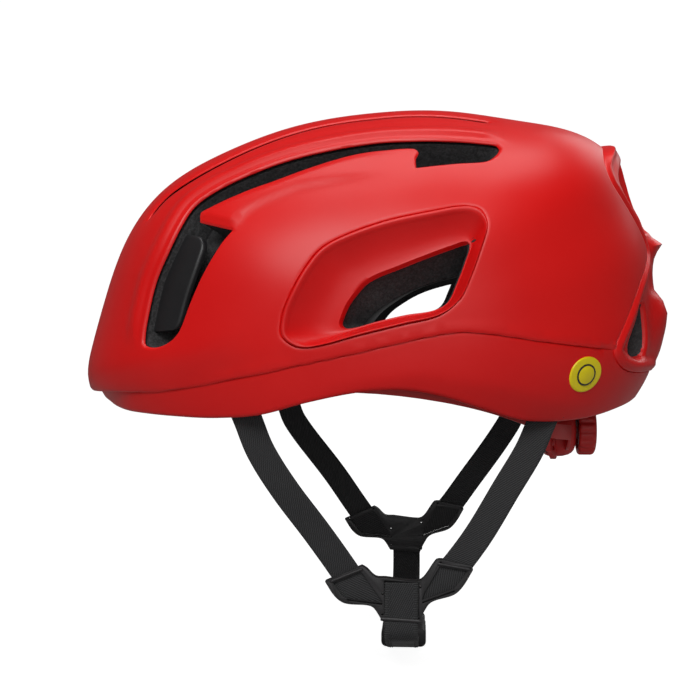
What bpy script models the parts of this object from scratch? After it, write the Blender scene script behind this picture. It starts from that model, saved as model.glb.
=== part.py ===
"""Cycling helmet: shells over a foam liner, a slip liner with pads, a dial fit system, straps and a buckle.

Metres, +Z up, the brow towards -X and the wearer's left towards -Y.
The origin is the middle of the head space.
"""

import math

import bpy
import numpy as np
from mathutils import Vector
from mathutils.geometry import delaunay_2d_cdt

# Shell
SHELL_LENGTH = 0.290
SHELL_WIDTH = 0.210
CROWN_HEIGHT = 0.1075
SHELL_WALL = 0.0012
LOWER_STEP = 0.0015
TUCK_DEPTH = 0.0030
SCOOP_DEPTH = 0.0085
SLOT_WIDTH = 0.0045
CHANNEL_DEPTH = 0.016
CHANNEL_FLOOR = 0.006
FOAM_UNDERCUT = 1.15
# Head space
HEAD_LENGTH = 0.210
HEAD_WIDTH = 0.166
HEAD_HEIGHT = 0.086
# Slip liner and pads
SLIP_CLEARANCE = 0.0020
SLIP_WALL = 0.0010
SLIP_ANGLE = math.radians(4)
PAD_THICKNESS = 0.0050
STUD_RADIUS = 0.0030
STUD_HEAD = 0.0055
STUD_PLAY = 0.0020
# Straps
STRAP_WIDTH = 0.0130
STRAP_THICKNESS = 0.0015
ANCHOR_WALL = 0.0014
ANCHOR_HEIGHT = 0.0080
DIVIDER_THICKNESS = 0.0050
DIVIDER_SPREAD = 0.0750
DIVIDER_DROP = 0.1210
DIVIDER_X = 0.0147
RIGHT_LIFT = 0.0055
# Buckle
BUCKLE_WIDTH = 0.0220
BUCKLE_HEIGHT = 0.0090
BUCKLE_LENGTH = 0.0400
BUCKLE_DROP = 0.1512
PRONG_WIDTH = 0.0030
# Fit system
TEMPLE_X = -0.2143 * HEAD_LENGTH
TEMPLE_Z = -0.0220
BAND_HEIGHT = 0.0100
BAND_THICKNESS = 0.0016
BAND_SET_IN = 0.0062
DIAL_RADIUS = 0.0125
DIAL_DEPTH = 0.0090
DIAL_X = HEAD_LENGTH / 2 - 0.0038
DIAL_Z = -0.0500
PINION_RADIUS = 0.0040
PINION_TEETH = 8
HOUSING_WIDTH = 0.0440
HOUSING_HEIGHT = 0.0240
HOUSING_DEPTH = 0.0095
# Badge
BADGE_RADIUS = 0.0088
# Fits and mesh sizes
GAP = 0.0003
SEAM_GAP = 0.0004
EDGE_STEP = SHELL_LENGTH / 53
FILL_STEP = SHELL_LENGTH / 27.6

UNIT = np.array([SHELL_LENGTH / 290, SHELL_WIDTH / 210, CROWN_HEIGHT / 107.5])
SIDES = {"left": -1, "right": 1}

RED = (0.62, 0.012, 0.012)
BLACK = (0.012, 0.012, 0.013)

# Outlines below are in thousandths of a metre of the 290 x 210 shell, and UNIT scales them.
SIDE_PROFILE = [
    (-141.5, -22), (-139.5, -8), (-133.5, 15), (-123, 45), (-106, 69), (-77.5, 87), (-40, 101),
    (0, 107.5), (40, 107.5), (75, 102), (104, 94), (118, 82), (126.5, 62), (134, 38), (137, 10),
    (137, -14), (126, -36), (95, -72), (0, -112), (-95, -82), (-134, -45),
]
BRIM = [  # x, z from the brow round the left side to the nape, at a turn in degrees from the brow
    (0, -34), (15, -32), (30, -30), (40, -34.5), (52, -36.8), (63, -36), (75, -31), (88, -27),
    (98, -26), (108, -28.5), (120, -35), (131, -39.5), (143, -38.5), (155, -33.5), (167, -32), (180, -32),
]
SEAM = [(-140, -29.5), (-125, -28.9), (-108, -28.5), (-89, -26.6), (-58.5, -20.7), (-30, -14.5),
        (-11, -10.4), (6, -6.5), (24, -2.4), (40, 0.1), (55, -0.9), (77.5, -4.2), (103, -7.4)]
# Side vent: groove x, z / opening x, z / inner opening x, z
SIDE_VENT = [
    (-37, -1, -13.4, 4, -2, 3.5), (-36.5, 8, -12.4, 8, -1, 5), (-33, 17, -10, 13.6, 1.5, 7.5),
    (-27, 28, -6.2, 19.1, 5, 10.5), (-20, 36.5, -2, 24, 9, 13), (-9, 42.5, 4, 27.5, 13.5, 15.7),
    (8, 48.5, 13, 31, 20, 19), (28, 52.8, 27, 36.3, 30, 22.5), (42, 55, 38, 40, 38, 25),
    (49, 53, 44, 41.3, 43, 26.5), (51.5, 47, 46.2, 39.5, 44.5, 25.5), (49, 37, 44.5, 34, 43.5, 22),
    (44.5, 24, 41, 23.5, 42, 17), (40, 14.5, 37.3, 15, 39, 11.5), (31, 7.3, 31, 11.2, 33, 8),
    (15, 3.3, 18, 8.3, 22, 5.5), (-4, -1.4, 4, 5, 11, 3), (-23, -6.2, -6, 2.2, 4, 1.5),
    (-31, -6, -11.8, 2, -0.5, 1.5),
]
FRONT_VENT = [
    (-99.8, -6.5), (-100.3, -2), (-99.3, 6), (-95.6, 23), (-89, 38.5), (-84.4, 48.5), (-80, 56),
    (-74.5, 61.2), (-62.5, 68.3), (-43, 77), (-23.3, 82.3), (1.3, 86.5), (20.5, 87.3), (39, 86.9),
    (52, 85.8), (58, 84.8), (59.3, 82.8), (57, 79), (52.5, 76), (39, 74.8), (21, 72.8), (20.7, 77.5),
    (22, 81.5), (20, 83.3), (9, 82.9), (-5.7, 81.3), (-22.8, 76.3), (-42.2, 69.6), (-57, 64.8),
    (-72.9, 56.8), (-76.5, 53.5), (-76.2, 49.6), (-60, 45.5), (-65.5, 38.7), (-73.3, 25.5),
    (-79, 13), (-84, 0.5), (-88.8, -4.6), (-95.5, -7.3),
]
FRONT_VENT_CORNERS = (20, 31, 32)
FRONT_WINDOW = [(-94, 3), (-92, 18), (-86, 33), (-80, 43.5), (-73.5, 44), (-76, 33), (-80.5, 18), (-86, 4)]
THIN_SLOT = [(-106, 47.5), (-98, 46.5), (-88, 48), (-78, 48), (-57, 45.5), (-35, 43), (-13, 41),
             (15, 41), (40, 43), (56, 44.5)]
REAR_EDGE = [(0, 91), (-20, 89), (-40, 83.5), (-51, 76.5), (-54.5, 68), (-47, 56), (-37, 43),
             (-36.5, 38), (-44, 32), (-55, 23.5), (-64, 12.5), (-74, -3), (-75, -9.5), (-70, -15.5),
             (-62, -18.3), (-45, -19), (-20, -19), (0, -19)]
UPPER_PORT = [(-9, 82), (-25, 80), (-39, 75.5), (-46, 69.5), (-44.5, 63), (-36, 52), (-28, 47.5),
              (-16, 47), (-9, 51)]
LOWER_PORT = [(-43, 16), (-45.5, 20.5), (-49.5, 20), (-57, 9.5), (-66, -4), (-66.5, -9), (-61, -12.8),
              (-52, -13.2), (-46, -12), (-43, -7)]
PORT_INNER_SHARE = 0.86
REAR_HEIGHTS = [-16, -10, -4, 2, 8, 14, 20, 26, 32, 36.5, 38, 40, 44, 50, 60]
REAR_RISES = [0, 3, 5, 7.2, 8.2, 5.5, 0, 0, 1.5, 4.5, 8.6, 10.4, 6, 2.5, 0]
LINER_WINDOW = [(-6, 1), (-3, 9), (3, 14), (18, 23), (34, 28.5), (46, 30.5), (48.5, 24), (45, 13),
                (37, 5), (28, 1), (10, -0.8)]
DIVIDER_OUTLINE = [
    (-34.5, 8.5), (-18, 15.7), (-15.8, 14.5), (-11.8, 10.8), (-7.3, 10.5), (7, 9), (9.9, 10.6),
    (15.6, 18.6), (18, 18.9), (31.7, 16.2), (32, 14.5), (24.7, 4), (13.3, -0.3), (9.9, -4.9),
    (7.6, -9.9), (-9, -8.5), (-12.6, -3.1), (-15.3, -2), (-25.6, -1.2), (-30.2, 2),
]


# ---------------------------------------------------------------- objects


def clear_scene():
    for obj in list(bpy.data.objects):
        bpy.data.objects.remove(obj, do_unlink=True)


def make_material(name, colour, roughness, metallic=0.0):
    material = bpy.data.materials.new(name)
    material.use_nodes = True
    shader = material.node_tree.nodes["Principled BSDF"]
    shader.inputs["Base Color"].default_value = (*colour, 1)
    shader.inputs["Roughness"].default_value = roughness
    shader.inputs["Metallic"].default_value = metallic
    material.diffuse_color = (*colour, 1)
    return material


def add_object(name, points, faces, material, pivot=(0, 0, 0), smooth=math.radians(38)):
    """A named mesh object whose origin is the pivot."""
    mesh = bpy.data.meshes.new(name)
    mesh.from_pydata((np.asarray(points) - np.asarray(pivot)).tolist(), [], [list(f) for f in faces])
    mesh.update()
    mesh.polygons.foreach_set("use_smooth", [True] * len(mesh.polygons))
    mesh.set_sharp_from_angle(angle=smooth)
    if material:
        mesh.materials.append(material)
    obj = bpy.data.objects.new(name, mesh)
    obj.location = pivot
    bpy.context.scene.collection.objects.link(obj)
    return obj


def cut(obj, cutters):
    """Takes each cutter away from the object with a live Boolean."""
    for cutter in cutters:
        cutter.hide_render = True
        cutter.display_type = "WIRE"
        modifier = obj.modifiers.new("cut " + cutter.name, "BOOLEAN")
        modifier.operation = "DIFFERENCE"
        modifier.solver = "EXACT"
        modifier.object = cutter
    return obj


def unit(v):
    v = np.asarray(v, float)
    return v / np.linalg.norm(v, axis=-1, keepdims=True)


def step(value):
    """Smooth step from 0 to 1."""
    t = np.clip(value, 0, 1)
    return t * t * (3 - 2 * t)


# ---------------------------------------------------------------- surfaces


def polar_spline(points):
    """A closed cubic spline of radius against angle through the points."""
    angle = np.arctan2(points[:, 1], points[:, 0])
    order = np.argsort(angle)
    angle = angle[order]
    radius = np.hypot(points[:, 0], points[:, 1])[order]
    n = len(angle)
    span = np.diff(np.append(angle, angle[0] + 2 * math.pi))
    matrix = np.zeros((n, n))
    right = np.zeros(n)
    for i in range(n):
        before, after = (i - 1) % n, (i + 1) % n
        matrix[i, before] += span[before]
        matrix[i, i] += 2 * (span[before] + span[i])
        matrix[i, after] += span[i]
        right[i] = 6 * ((radius[after] - radius[i]) / span[i] - (radius[i] - radius[before]) / span[before])
    bend = np.linalg.solve(matrix, right)

    def value(at):
        at = (at - angle[0]) % (2 * math.pi) + angle[0]
        i = np.clip(np.searchsorted(angle, at, side="right") - 1, 0, n - 1)
        j = (i + 1) % n
        h = span[i]
        u = at - angle[i]
        v = h - u
        cubic = (bend[i] * v**3 + bend[j] * u**3) / (6 * h)
        return cubic + (radius[i] / h - bend[i] * h / 6) * v + (radius[j] / h - bend[j] * h / 6) * u

    return value


PROFILE = polar_spline(np.array(SIDE_PROFILE) * UNIT[[0, 2]])


def shell_radius(d):
    """Distance from the origin to the shell's base surface along unit directions."""
    flat = np.hypot(d[:, 0], d[:, 2])
    angle = np.arctan2(d[:, 2], d[:, 0])
    power = 2.25 + 0.25 * np.maximum(np.cos(angle), 0) - 0.1 * np.sin(angle)
    return ((flat / PROFILE(angle)) ** power + (np.abs(d[:, 1]) / (SHELL_WIDTH / 2)) ** power) ** (-1 / power)


def head_radius(d):
    """Distance from the origin to the foam's inner wall: a dome over upright walls."""
    power = 2.3
    total = (2 * np.abs(d[:, 0]) / HEAD_LENGTH) ** power + (2 * np.abs(d[:, 1]) / HEAD_WIDTH) ** power
    return (total + (np.maximum(d[:, 2], 0) / HEAD_HEIGHT) ** power) ** (-1 / power)


def onto(radius, points, axis, sign):
    """The points moved along one axis until they lie on that surface."""
    points = np.array(points, float)
    low = np.zeros(len(points))
    high = np.full(len(points), SHELL_LENGTH)
    for _ in range(40):
        middle = (low + high) / 2
        points[:, axis] = sign * middle
        size = np.linalg.norm(points, axis=1)
        inside = size < radius(points / size[:, None])
        low = np.where(inside, middle, low)
        high = np.where(inside, high, middle)
    return points


def from_side(pairs, side, radius=shell_radius):
    """Unit directions of (x, z) outline points seen from one side of the shell."""
    pairs = np.asarray(pairs, float) * UNIT[[0, 2]]
    points = np.insert(pairs, 1, 0.0, axis=1)
    return unit(onto(radius, points, 1, side))


def from_above(pairs, side, radius=shell_radius):
    pairs = np.asarray(pairs, float) * UNIT[[0, 1]] * (1, side)
    return unit(onto(radius, np.insert(pairs, 2, 0.0, axis=1), 2, 1))


def from_behind(pairs, side, radius=shell_radius):
    pairs = np.asarray(pairs, float) * UNIT[[1, 2]] * (-side, 1)
    return unit(onto(radius, np.insert(pairs, 0, 0.0, axis=1), 0, 1))


# ---------------------------------------------------------------- outlines


def step_counts(points, spacing):
    points = np.asarray(points, float)
    length = np.linalg.norm(np.roll(points, -1, axis=0) - points, axis=1)
    return np.maximum(1, np.round(length / spacing)).astype(int)


def smooth_curve(points, counts, corners=(), closed=True):
    """A curve through the points, each span in its count of steps, sharp at the corners."""
    points = np.asarray(points, float)
    n = len(points)
    ahead = np.roll(points, -1, axis=0) - points
    size = np.linalg.norm(ahead, axis=1, keepdims=True)
    course = (ahead + np.roll(ahead, 1, axis=0)) / (size + np.roll(size, 1, axis=0))
    leaving, arriving = course.copy(), course.copy()
    sharp = list(corners) + ([] if closed else [0, n - 1])
    for i in sharp:
        leaving[i] = ahead[i] / size[i]
        arriving[i] = ahead[i - 1] / size[i - 1]
    result = []
    for i in range(n if closed else n - 1):
        j = (i + 1) % n
        t = np.arange(counts[i])[:, None] / counts[i]
        first, second = leaving[i] * size[i], arriving[j] * size[i]
        result.append(
            (2 * t**3 - 3 * t**2 + 1) * points[i] + (t**3 - 2 * t**2 + t) * first
            + (3 * t**2 - 2 * t**3) * points[j] + (t**3 - t**2) * second
        )
    if not closed:
        result.append(points[-1:])
    return np.concatenate(result)


def oval(x0, x1, y0, y1, count=16, power=2.6):
    """A rounded oblong outline between two limits each way."""
    turn = 2 * math.pi * np.arange(count) / count
    u = np.sign(np.cos(turn)) * np.abs(np.cos(turn)) ** (2 / power)
    v = np.sign(np.sin(turn)) * np.abs(np.sin(turn)) ** (2 / power)
    return np.stack([(x0 + x1) / 2 + u * (x1 - x0) / 2, (y0 + y1) / 2 + v * (y1 - y0) / 2], 1)


def ring_about(direction, radius, across, along, count=12, power=2.6):
    """A rounded oblong loop on a surface about a direction: across is level, along is upwards."""
    centre = direction * radius(direction[None])[0]
    east = unit(np.cross((0, 0, 1), direction))
    north = np.cross(direction, east)
    turn = 2 * math.pi * np.arange(count) / count
    u = np.sign(np.cos(turn)) * np.abs(np.cos(turn)) ** (2 / power) * across
    v = np.sign(np.sin(turn)) * np.abs(np.sin(turn)) ** (2 / power) * along
    return unit(centre + u[:, None] * east + v[:, None] * north)


# ---------------------------------------------------------------- triangulated domes


def flatten(d):
    """Unit directions to the plane, seen from straight below the head."""
    return d[:, :2] / (1 + d[:, 2:3])


def unflatten(flat):
    square = (flat**2).sum(axis=1, keepdims=True)
    return np.hstack([2 * flat, 1 - square]) / (1 + square)


def within(flat, loop):
    """Which flat points lie inside a closed flat loop."""
    inside = np.zeros(len(flat), bool)
    before = np.roll(loop, 1, axis=0)
    for (x0, y0), (x1, y1) in zip(before, loop):
        if y0 == y1:
            continue
        crossing = (flat[:, 1] < y0) != (flat[:, 1] < y1)
        inside ^= crossing & (flat[:, 0] < (x1 - x0) * (flat[:, 1] - y0) / (y1 - y0) + x0)
    return inside


def fill_directions(spacing):
    """Rings of directions about the crown, evenly spaced on a dome of the shell's size."""
    size = SHELL_LENGTH * 0.4
    rings = []
    for i, tilt in enumerate(np.arange(0, 2.1, 0.87 * spacing / size)):
        count = max(1, round(2 * math.pi * math.sin(tilt) * size / spacing))
        turn = 2 * math.pi * (np.arange(count) + 0.5 * (i % 2)) / count
        level = math.sin(tilt)
        rings.append(np.stack([level * np.cos(turn), level * np.sin(turn), np.full(count, math.cos(tilt))], 1))
    return np.concatenate(rings)


class Dome:
    """A triangulation of directions inside the first loop, with every loop and line kept as edges."""

    def __init__(self, loops, lines=(), spacing=FILL_STEP, clear=0.55):
        size = SHELL_LENGTH * 0.4
        fixed = np.concatenate([*loops, *lines])
        edges, start, self.loops = [], 0, []
        for loop in loops:
            self.loops.append(flatten(loop))
            edges += [(start + i, start + (i + 1) % len(loop)) for i in range(len(loop))]
            start += len(loop)
        for line in lines:
            edges += [(start + i, start + i + 1) for i in range(len(line) - 1)]
            start += len(line)
        fill = fill_directions(spacing)
        fill = fill[within(flatten(fill), self.loops[0])]
        for i in range(0, len(fixed), 200):
            near = np.linalg.norm(fill[:, None] - fixed[None, i : i + 200], axis=2).min(axis=1)
            fill = fill[near * size > clear * spacing]
        flat = flatten(np.concatenate([fixed, fill]))
        made, _, faces, sources, _, _ = delaunay_2d_cdt([Vector(p) for p in flat], edges, [], 0, 1e-7, True)
        flat = np.array([tuple(p) for p in made])
        faces = np.array([tuple(f) for f in faces])
        middle = flat[faces].mean(axis=1)
        self.faces = faces[within(middle, self.loops[0])]
        self.middle = flat[self.faces].mean(axis=1)
        self.points = unflatten(flat)
        place = {source: i for i, group in enumerate(sources) for source in group}
        start, self.loop_points = 0, []
        for loop in loops:
            self.loop_points.append([place[start + i] for i in range(len(loop))])
            start += len(loop)

    def inside(self, loop):
        return within(self.middle, self.loops[loop])


def open_edges(faces):
    """Directed edges that only one triangle uses, with the dome on their left."""
    edges = [(int(f[i]), int(f[(i + 1) % 3])) for f in faces for i in range(3)]
    known = set(edges)
    return [e for e in edges if (e[1], e[0]) not in known]


def inset_directions(points, edges, radius, distance):
    """Directions with the open edge moved into the piece by the distance."""
    places = points * radius(points)[:, None]
    inward = np.zeros_like(points)
    for a, b in edges:
        across = unit(np.cross(points[a], places[b] - places[a]))
        inward[a] += across
        inward[b] += across
    rim = np.linalg.norm(inward, axis=1) > 1e-9
    places[rim] += distance * unit(inward[rim])
    return unit(places)


def slab(name, dome, faces, top, bottom, material, radius=shell_radius, inset=SEAM_GAP / 2):
    """A closed shell between two offsets from a surface, over some of a dome's triangles."""
    used, index = np.unique(faces, return_inverse=True)
    faces = index.reshape(faces.shape)
    edges = open_edges(faces)
    points = inset_directions(dome.points[used], edges, radius, inset)
    base = radius(points)
    high = points * (base + np.broadcast_to(top, len(dome.points))[used])[:, None]
    low = points * (base + np.broadcast_to(bottom, len(dome.points))[used])[:, None]
    n = len(points)
    sides = [(a, a + n, b + n, b) for a, b in edges]
    solid = [tuple(f) for f in faces] + [tuple(f[::-1] + n) for f in faces] + sides
    return add_object(name, np.concatenate([high, low]), solid, material)


# ---------------------------------------------------------------- helmet layers


def brim_line(spacing):
    """Directions along the brim, all the way round."""
    half = np.array(BRIM, float)
    turn = np.concatenate([half[:, 0], 360 - half[-2:0:-1, 0]])
    height = np.concatenate([half[:, 1], half[-2:0:-1, 1]])
    fine = np.arange(0, 360, math.degrees(spacing / (SHELL_LENGTH * 0.42)))
    level = np.interp(fine, np.append(turn, 360), np.append(height, height[0])) * UNIT[2]
    along = np.radians(180 + fine)
    sideways = np.stack([np.cos(along), np.sin(along), np.zeros(len(along))], 1)
    spread = shell_radius(sideways)
    for _ in range(30):
        guess = sideways * spread[:, None]
        guess[:, 2] = level
        size = np.linalg.norm(guess, axis=1)
        spread *= shell_radius(guess / size[:, None]) / size
    guess = sideways * spread[:, None]
    guess[:, 2] = level
    return unit(guess), guess


def mirrored(points):
    return points * (1, -1, 1)


def half_loop(half):
    """A closed loop from a half outline whose first and last points are on the mid plane."""
    half = np.asarray(half, float)
    return np.concatenate([half, half[-2:0:-1] * (-1, 1)])


def thin_slot_outline():
    """(x, y) of the slim slot by the crown, as a closed loop about its middle line."""
    middle = np.array(THIN_SLOT, float)
    middle = smooth_curve(middle, np.full(len(middle), 2), closed=False)
    course = unit(np.gradient(middle, axis=0))
    across = np.stack([-course[:, 1], course[:, 0]], 1) * (SLOT_WIDTH / 2 / UNIT[1])
    taper = np.ones((len(middle), 1))
    taper[0], taper[-1] = 0.35, 0.35
    return np.concatenate([middle + across * taper, (middle - across * taper)[::-1]])


def shell_dome():
    """The outer triangulation, and the number of each of its loops."""
    spacing = EDGE_STEP / UNIT[0]
    loops, number = [brim_line(EDGE_STEP)[0]], {"brim": 0}

    def keep(label, loop):
        number[label] = len(loops)
        loops.append(loop)

    rear = smooth_curve(half_loop(REAR_EDGE), step_counts(half_loop(REAR_EDGE), spacing))
    keep("rear", from_behind(rear, -1))
    vent = np.array(SIDE_VENT, float)
    counts = step_counts(vent[:, :2], spacing)
    grooves = smooth_curve(vent[:, :2], counts)
    openings = smooth_curve(vent[:, 2:4], counts)
    front = smooth_curve(FRONT_VENT, step_counts(FRONT_VENT, spacing), FRONT_VENT_CORNERS)
    window = smooth_curve(FRONT_WINDOW, step_counts(FRONT_WINDOW, spacing))
    ports = {
        "upper_port": smooth_curve(UPPER_PORT, step_counts(UPPER_PORT, spacing)),
        "lower_port": smooth_curve(LOWER_PORT, step_counts(LOWER_PORT, spacing)),
    }
    for side, sign in SIDES.items():
        keep("groove_" + side, from_side(grooves, sign))
        keep("bead_" + side, from_side(grooves + 0.22 * (openings - grooves), sign))
        keep("side_vent_" + side, from_side(openings, sign))
        keep("front_vent_" + side, from_side(front, sign))
        keep("window_" + side, from_side(window, sign))
        keep("slot_" + side, from_above(thin_slot_outline(), sign))
        for port, outline in ports.items():
            keep(port + "_" + side, from_behind(outline, sign))
    return Dome(loops, seam_lines(loops[1])), number


def seam_lines(rear_loop):
    """The seam between the shells, from the rear edge on one side round the brow to the other."""
    counts = step_counts(SEAM, EDGE_STEP / UNIT[0])
    half = smooth_curve(SEAM, counts, closed=False)
    left = from_side(half[1:], -1)
    brow = unit(onto(shell_radius, [[0, 0, SEAM[0][1] * UNIT[2]]], 0, -1))
    line = np.concatenate([left[::-1], brow, mirrored(left)])
    for end in (0, -1):
        nearest = np.linalg.norm(rear_loop - line[end], axis=1).argmin()
        line[end] = rear_loop[nearest]
    return [line]


def lower_region(dome, seam):
    """Which triangles lie below the seam: outside the closed loop of the seam and the rear."""
    closing = unit(onto(shell_radius, [[0, y, SEAM[-1][1] * UNIT[2]] for y in (0.045, 0, -0.045)], 0, 1))
    return ~within(dome.middle, flatten(np.concatenate([seam, closing])))


def rear_rise(points):
    """Height of the rear shell's fin and tail over the base surface."""
    nominal = points * shell_radius(points)[:, None] / UNIT
    rise = np.interp(nominal[:, 2], REAR_HEIGHTS, REAR_RISES) / 1000
    spread = np.abs(nominal[:, 1])
    fin = 1 - step((spread - 14) / 14)
    tail = 1 - step((spread - 30) / 9)
    return rise * np.where(nominal[:, 2] > 28, fin, tail)


def scoop_drop(points, groove, opening):
    """Depth of the dished face round a side vent, from its groove to its opening."""
    outer = np.linalg.norm(points[:, None] - groove[None], axis=2).min(axis=1)
    inner = np.linalg.norm(points[:, None] - opening[None], axis=2).min(axis=1)
    share = outer / (outer + inner + 1e-9)
    return -SCOOP_DEPTH * step((share - 0.2) / 0.8)


def tuck(points):
    """How far the lower shell sits inside the upper one: most under the brow."""
    place = -(points * shell_radius(points)[:, None] / UNIT)[:, 0]
    return -LOWER_STEP - TUCK_DEPTH * step((place - 112) / 24)


def label_shell(dome, number):
    """A piece name for each triangle, an empty name where the shell is open."""
    seam = seam_lines(unflatten(dome.loops[number["rear"]]))[0]
    label = np.where(lower_region(dome, seam), "lower_shell", "upper_shell").astype(object)
    label[dome.inside(number["rear"])] = "rear_shell"
    for side in SIDES:
        label[dome.inside(number["groove_" + side])] = "side_bezel_" + side
        for hole in ("side_vent", "front_vent", "slot", "upper_port", "lower_port"):
            label[dome.inside(number[f"{hole}_{side}"])] = ""
    return label


def shell_heights(dome, number):
    """Height of each piece's outer face over the base surface, by piece."""
    heights = {
        "upper_shell": np.zeros(len(dome.points)),
        "lower_shell": tuck(dome.points),
        "rear_shell": rear_rise(dome.points),
    }
    for side in SIDES:
        groove = unflatten(dome.loops[number["groove_" + side]])
        opening = unflatten(dome.loops[number["side_vent_" + side]])
        heights["side_bezel_" + side] = scoop_drop(dome.points, groove, opening)
    return heights


def build_shells(dome, label, heights, material):
    for name, height in heights.items():
        slab(name, dome, dome.faces[label == name], height, height - SHELL_WALL, material)


def inner_openings():
    """Loops of the foam's inner wall, in the order of the outer loops that they join."""
    spacing = EDGE_STEP / UNIT[0]
    vent = np.array(SIDE_VENT, float)
    counts = step_counts(vent[:, :2], spacing)
    loops = {}
    for side, sign in SIDES.items():
        loops["side_vent_" + side] = from_side(smooth_curve(vent[:, 4:], counts), sign, head_radius)
        window = smooth_curve(FRONT_WINDOW, step_counts(FRONT_WINDOW, spacing))
        loops["window_" + side] = from_side(window, sign)
        for name, port in (("upper_port_", UPPER_PORT), ("lower_port_", LOWER_PORT)):
            outline = smooth_curve(port, step_counts(port, spacing))
            middle = outline.mean(axis=0)
            smaller = middle + PORT_INNER_SHARE * (outline - middle)
            loops[name + side] = from_behind(smaller, sign, head_radius)
    return loops


def inner_brim(places):
    """The brim of the inner wall: level with the outer brim and straight in from it."""
    turn = np.arctan2(places[:, 1], places[:, 0])
    level = np.stack([np.cos(turn), np.sin(turn), np.zeros(len(turn))], 1)
    inner = level * head_radius(level)[:, None]
    inner[:, 2] = places[:, 2] + 0.001
    return unit(inner)


def build_foam(dome, number, label, heights, material):
    """One foam body: outer face, channels with floors, tunnels through it, inner wall and brim."""
    top = np.full(len(dome.points), np.inf)
    for name, height in heights.items():
        used = np.unique(dome.faces[label == name])
        deeper = FOAM_UNDERCUT if name.startswith("side_bezel") else 1.0
        top[used] = np.minimum(top[used], deeper * height[used])
    base = shell_radius(dome.points)
    top = base + np.where(np.isfinite(top), top, 0) - SHELL_WALL - SEAM_GAP
    floor = np.maximum(base - CHANNEL_DEPTH, head_radius(dome.points) + CHANNEL_FLOOR)
    channel = np.zeros(len(dome.faces), bool)
    for side in SIDES:
        channel |= dome.inside(number["front_vent_" + side]) & ~dome.inside(number["window_" + side])
        channel |= dome.inside(number["slot_" + side])
    solid = label != ""
    tunnels = inner_openings()
    wall = Dome([inner_brim(brim_line(EDGE_STEP)[1]), *tunnels.values()])
    kept = np.ones(len(wall.faces), bool)
    for i in range(len(tunnels)):
        kept &= ~wall.inside(i + 1)
    n = len(dome.points)
    partner = dict(zip(dome.loop_points[0], wall.loop_points[0]))
    for i, name in enumerate(tunnels):
        partner.update(zip(dome.loop_points[number[name]], wall.loop_points[i + 1]))
    partner = {a: b + 2 * n for a, b in partner.items()}
    places = np.concatenate([
        dome.points * top[:, None],
        dome.points * floor[:, None],
        wall.points * head_radius(wall.points)[:, None],
    ])
    faces = [tuple(f) for f in dome.faces[solid]]
    faces += [tuple(f + n) for f in dome.faces[channel]]
    faces += [tuple(f[::-1] + 2 * n) for f in wall.faces[kept]]
    in_channel = {(int(f[i]), int(f[(i + 1) % 3])) for f in dome.faces[channel] for i in range(3)}
    for a, b in open_edges(dome.faces[solid]):
        if (b, a) in in_channel:
            faces.append((a, a + n, b + n, b))
        else:
            faces.append((a, partner[a], partner[b], b))
    on_solid = {(int(f[i]), int(f[(i + 1) % 3])) for f in dome.faces[solid] for i in range(3)}
    for a, b in open_edges(dome.faces[channel]):
        if (b, a) not in on_solid:
            faces.append((a + n, partner[a], partner[b], b + n))
    used, index = np.unique(np.concatenate([np.array(f) for f in faces]), return_inverse=True)
    ends = np.cumsum([len(f) for f in faces])
    faces = np.split(index.reshape(-1), ends[:-1])
    return add_object("eps_liner", places[used], faces, material, smooth=math.radians(30))


# ---------------------------------------------------------------- slip liner and pads


def stud_directions():
    """Where the four slip studs stand, by name."""
    tilt = math.radians(62)
    found = {}
    for side, sign in SIDES.items():
        for end, turn in (("front", 128), ("rear", 42)):
            angle = math.radians(turn) * sign
            found[f"{end}_{side}"] = np.array(
                [math.sin(tilt) * math.cos(angle), math.sin(tilt) * math.sin(angle), math.cos(tilt)]
            )
    return found


def level_loop(height, count=64):
    """Directions round the inner wall at one height."""
    turn = 2 * math.pi * np.arange(count) / count
    level = np.stack([np.cos(turn), np.sin(turn), np.zeros(count)], 1)
    places = level * head_radius(level)[:, None]
    places[:, 2] = height
    return unit(places)


def build_slip_liner(material):
    loops = [level_loop(-0.006)]
    for sign in SIDES.values():
        window = smooth_curve(LINER_WINDOW, step_counts(LINER_WINDOW, 8))
        loops.append(from_side(window, sign, head_radius))
        loops.append(from_above(oval(-36, 44, 31, 50), sign, head_radius))
        loops.append(from_behind(oval(-40, -10, 46, 72), sign, head_radius))
        loops.append(from_behind(oval(-60, -28, 0, 20), sign, head_radius))
    loops.append(from_above(oval(-44, 52, -9, 9), 1, head_radius))
    travel = SLIP_ANGLE * HEAD_LENGTH / 2
    for direction in stud_directions().values():
        slot = STUD_RADIUS + 4 * GAP
        loops.append(ring_about(direction, head_radius, slot + travel, slot + GAP, 20, 4))
    dome = Dome(loops, spacing=0.012)
    kept = np.ones(len(dome.faces), bool)
    for i in range(1, len(loops)):
        kept &= ~dome.inside(i)
    outer = -SLIP_CLEARANCE
    slab("slip_liner", dome, dome.faces[kept], outer, outer - SLIP_WALL, material, head_radius, 0.0)


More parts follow.
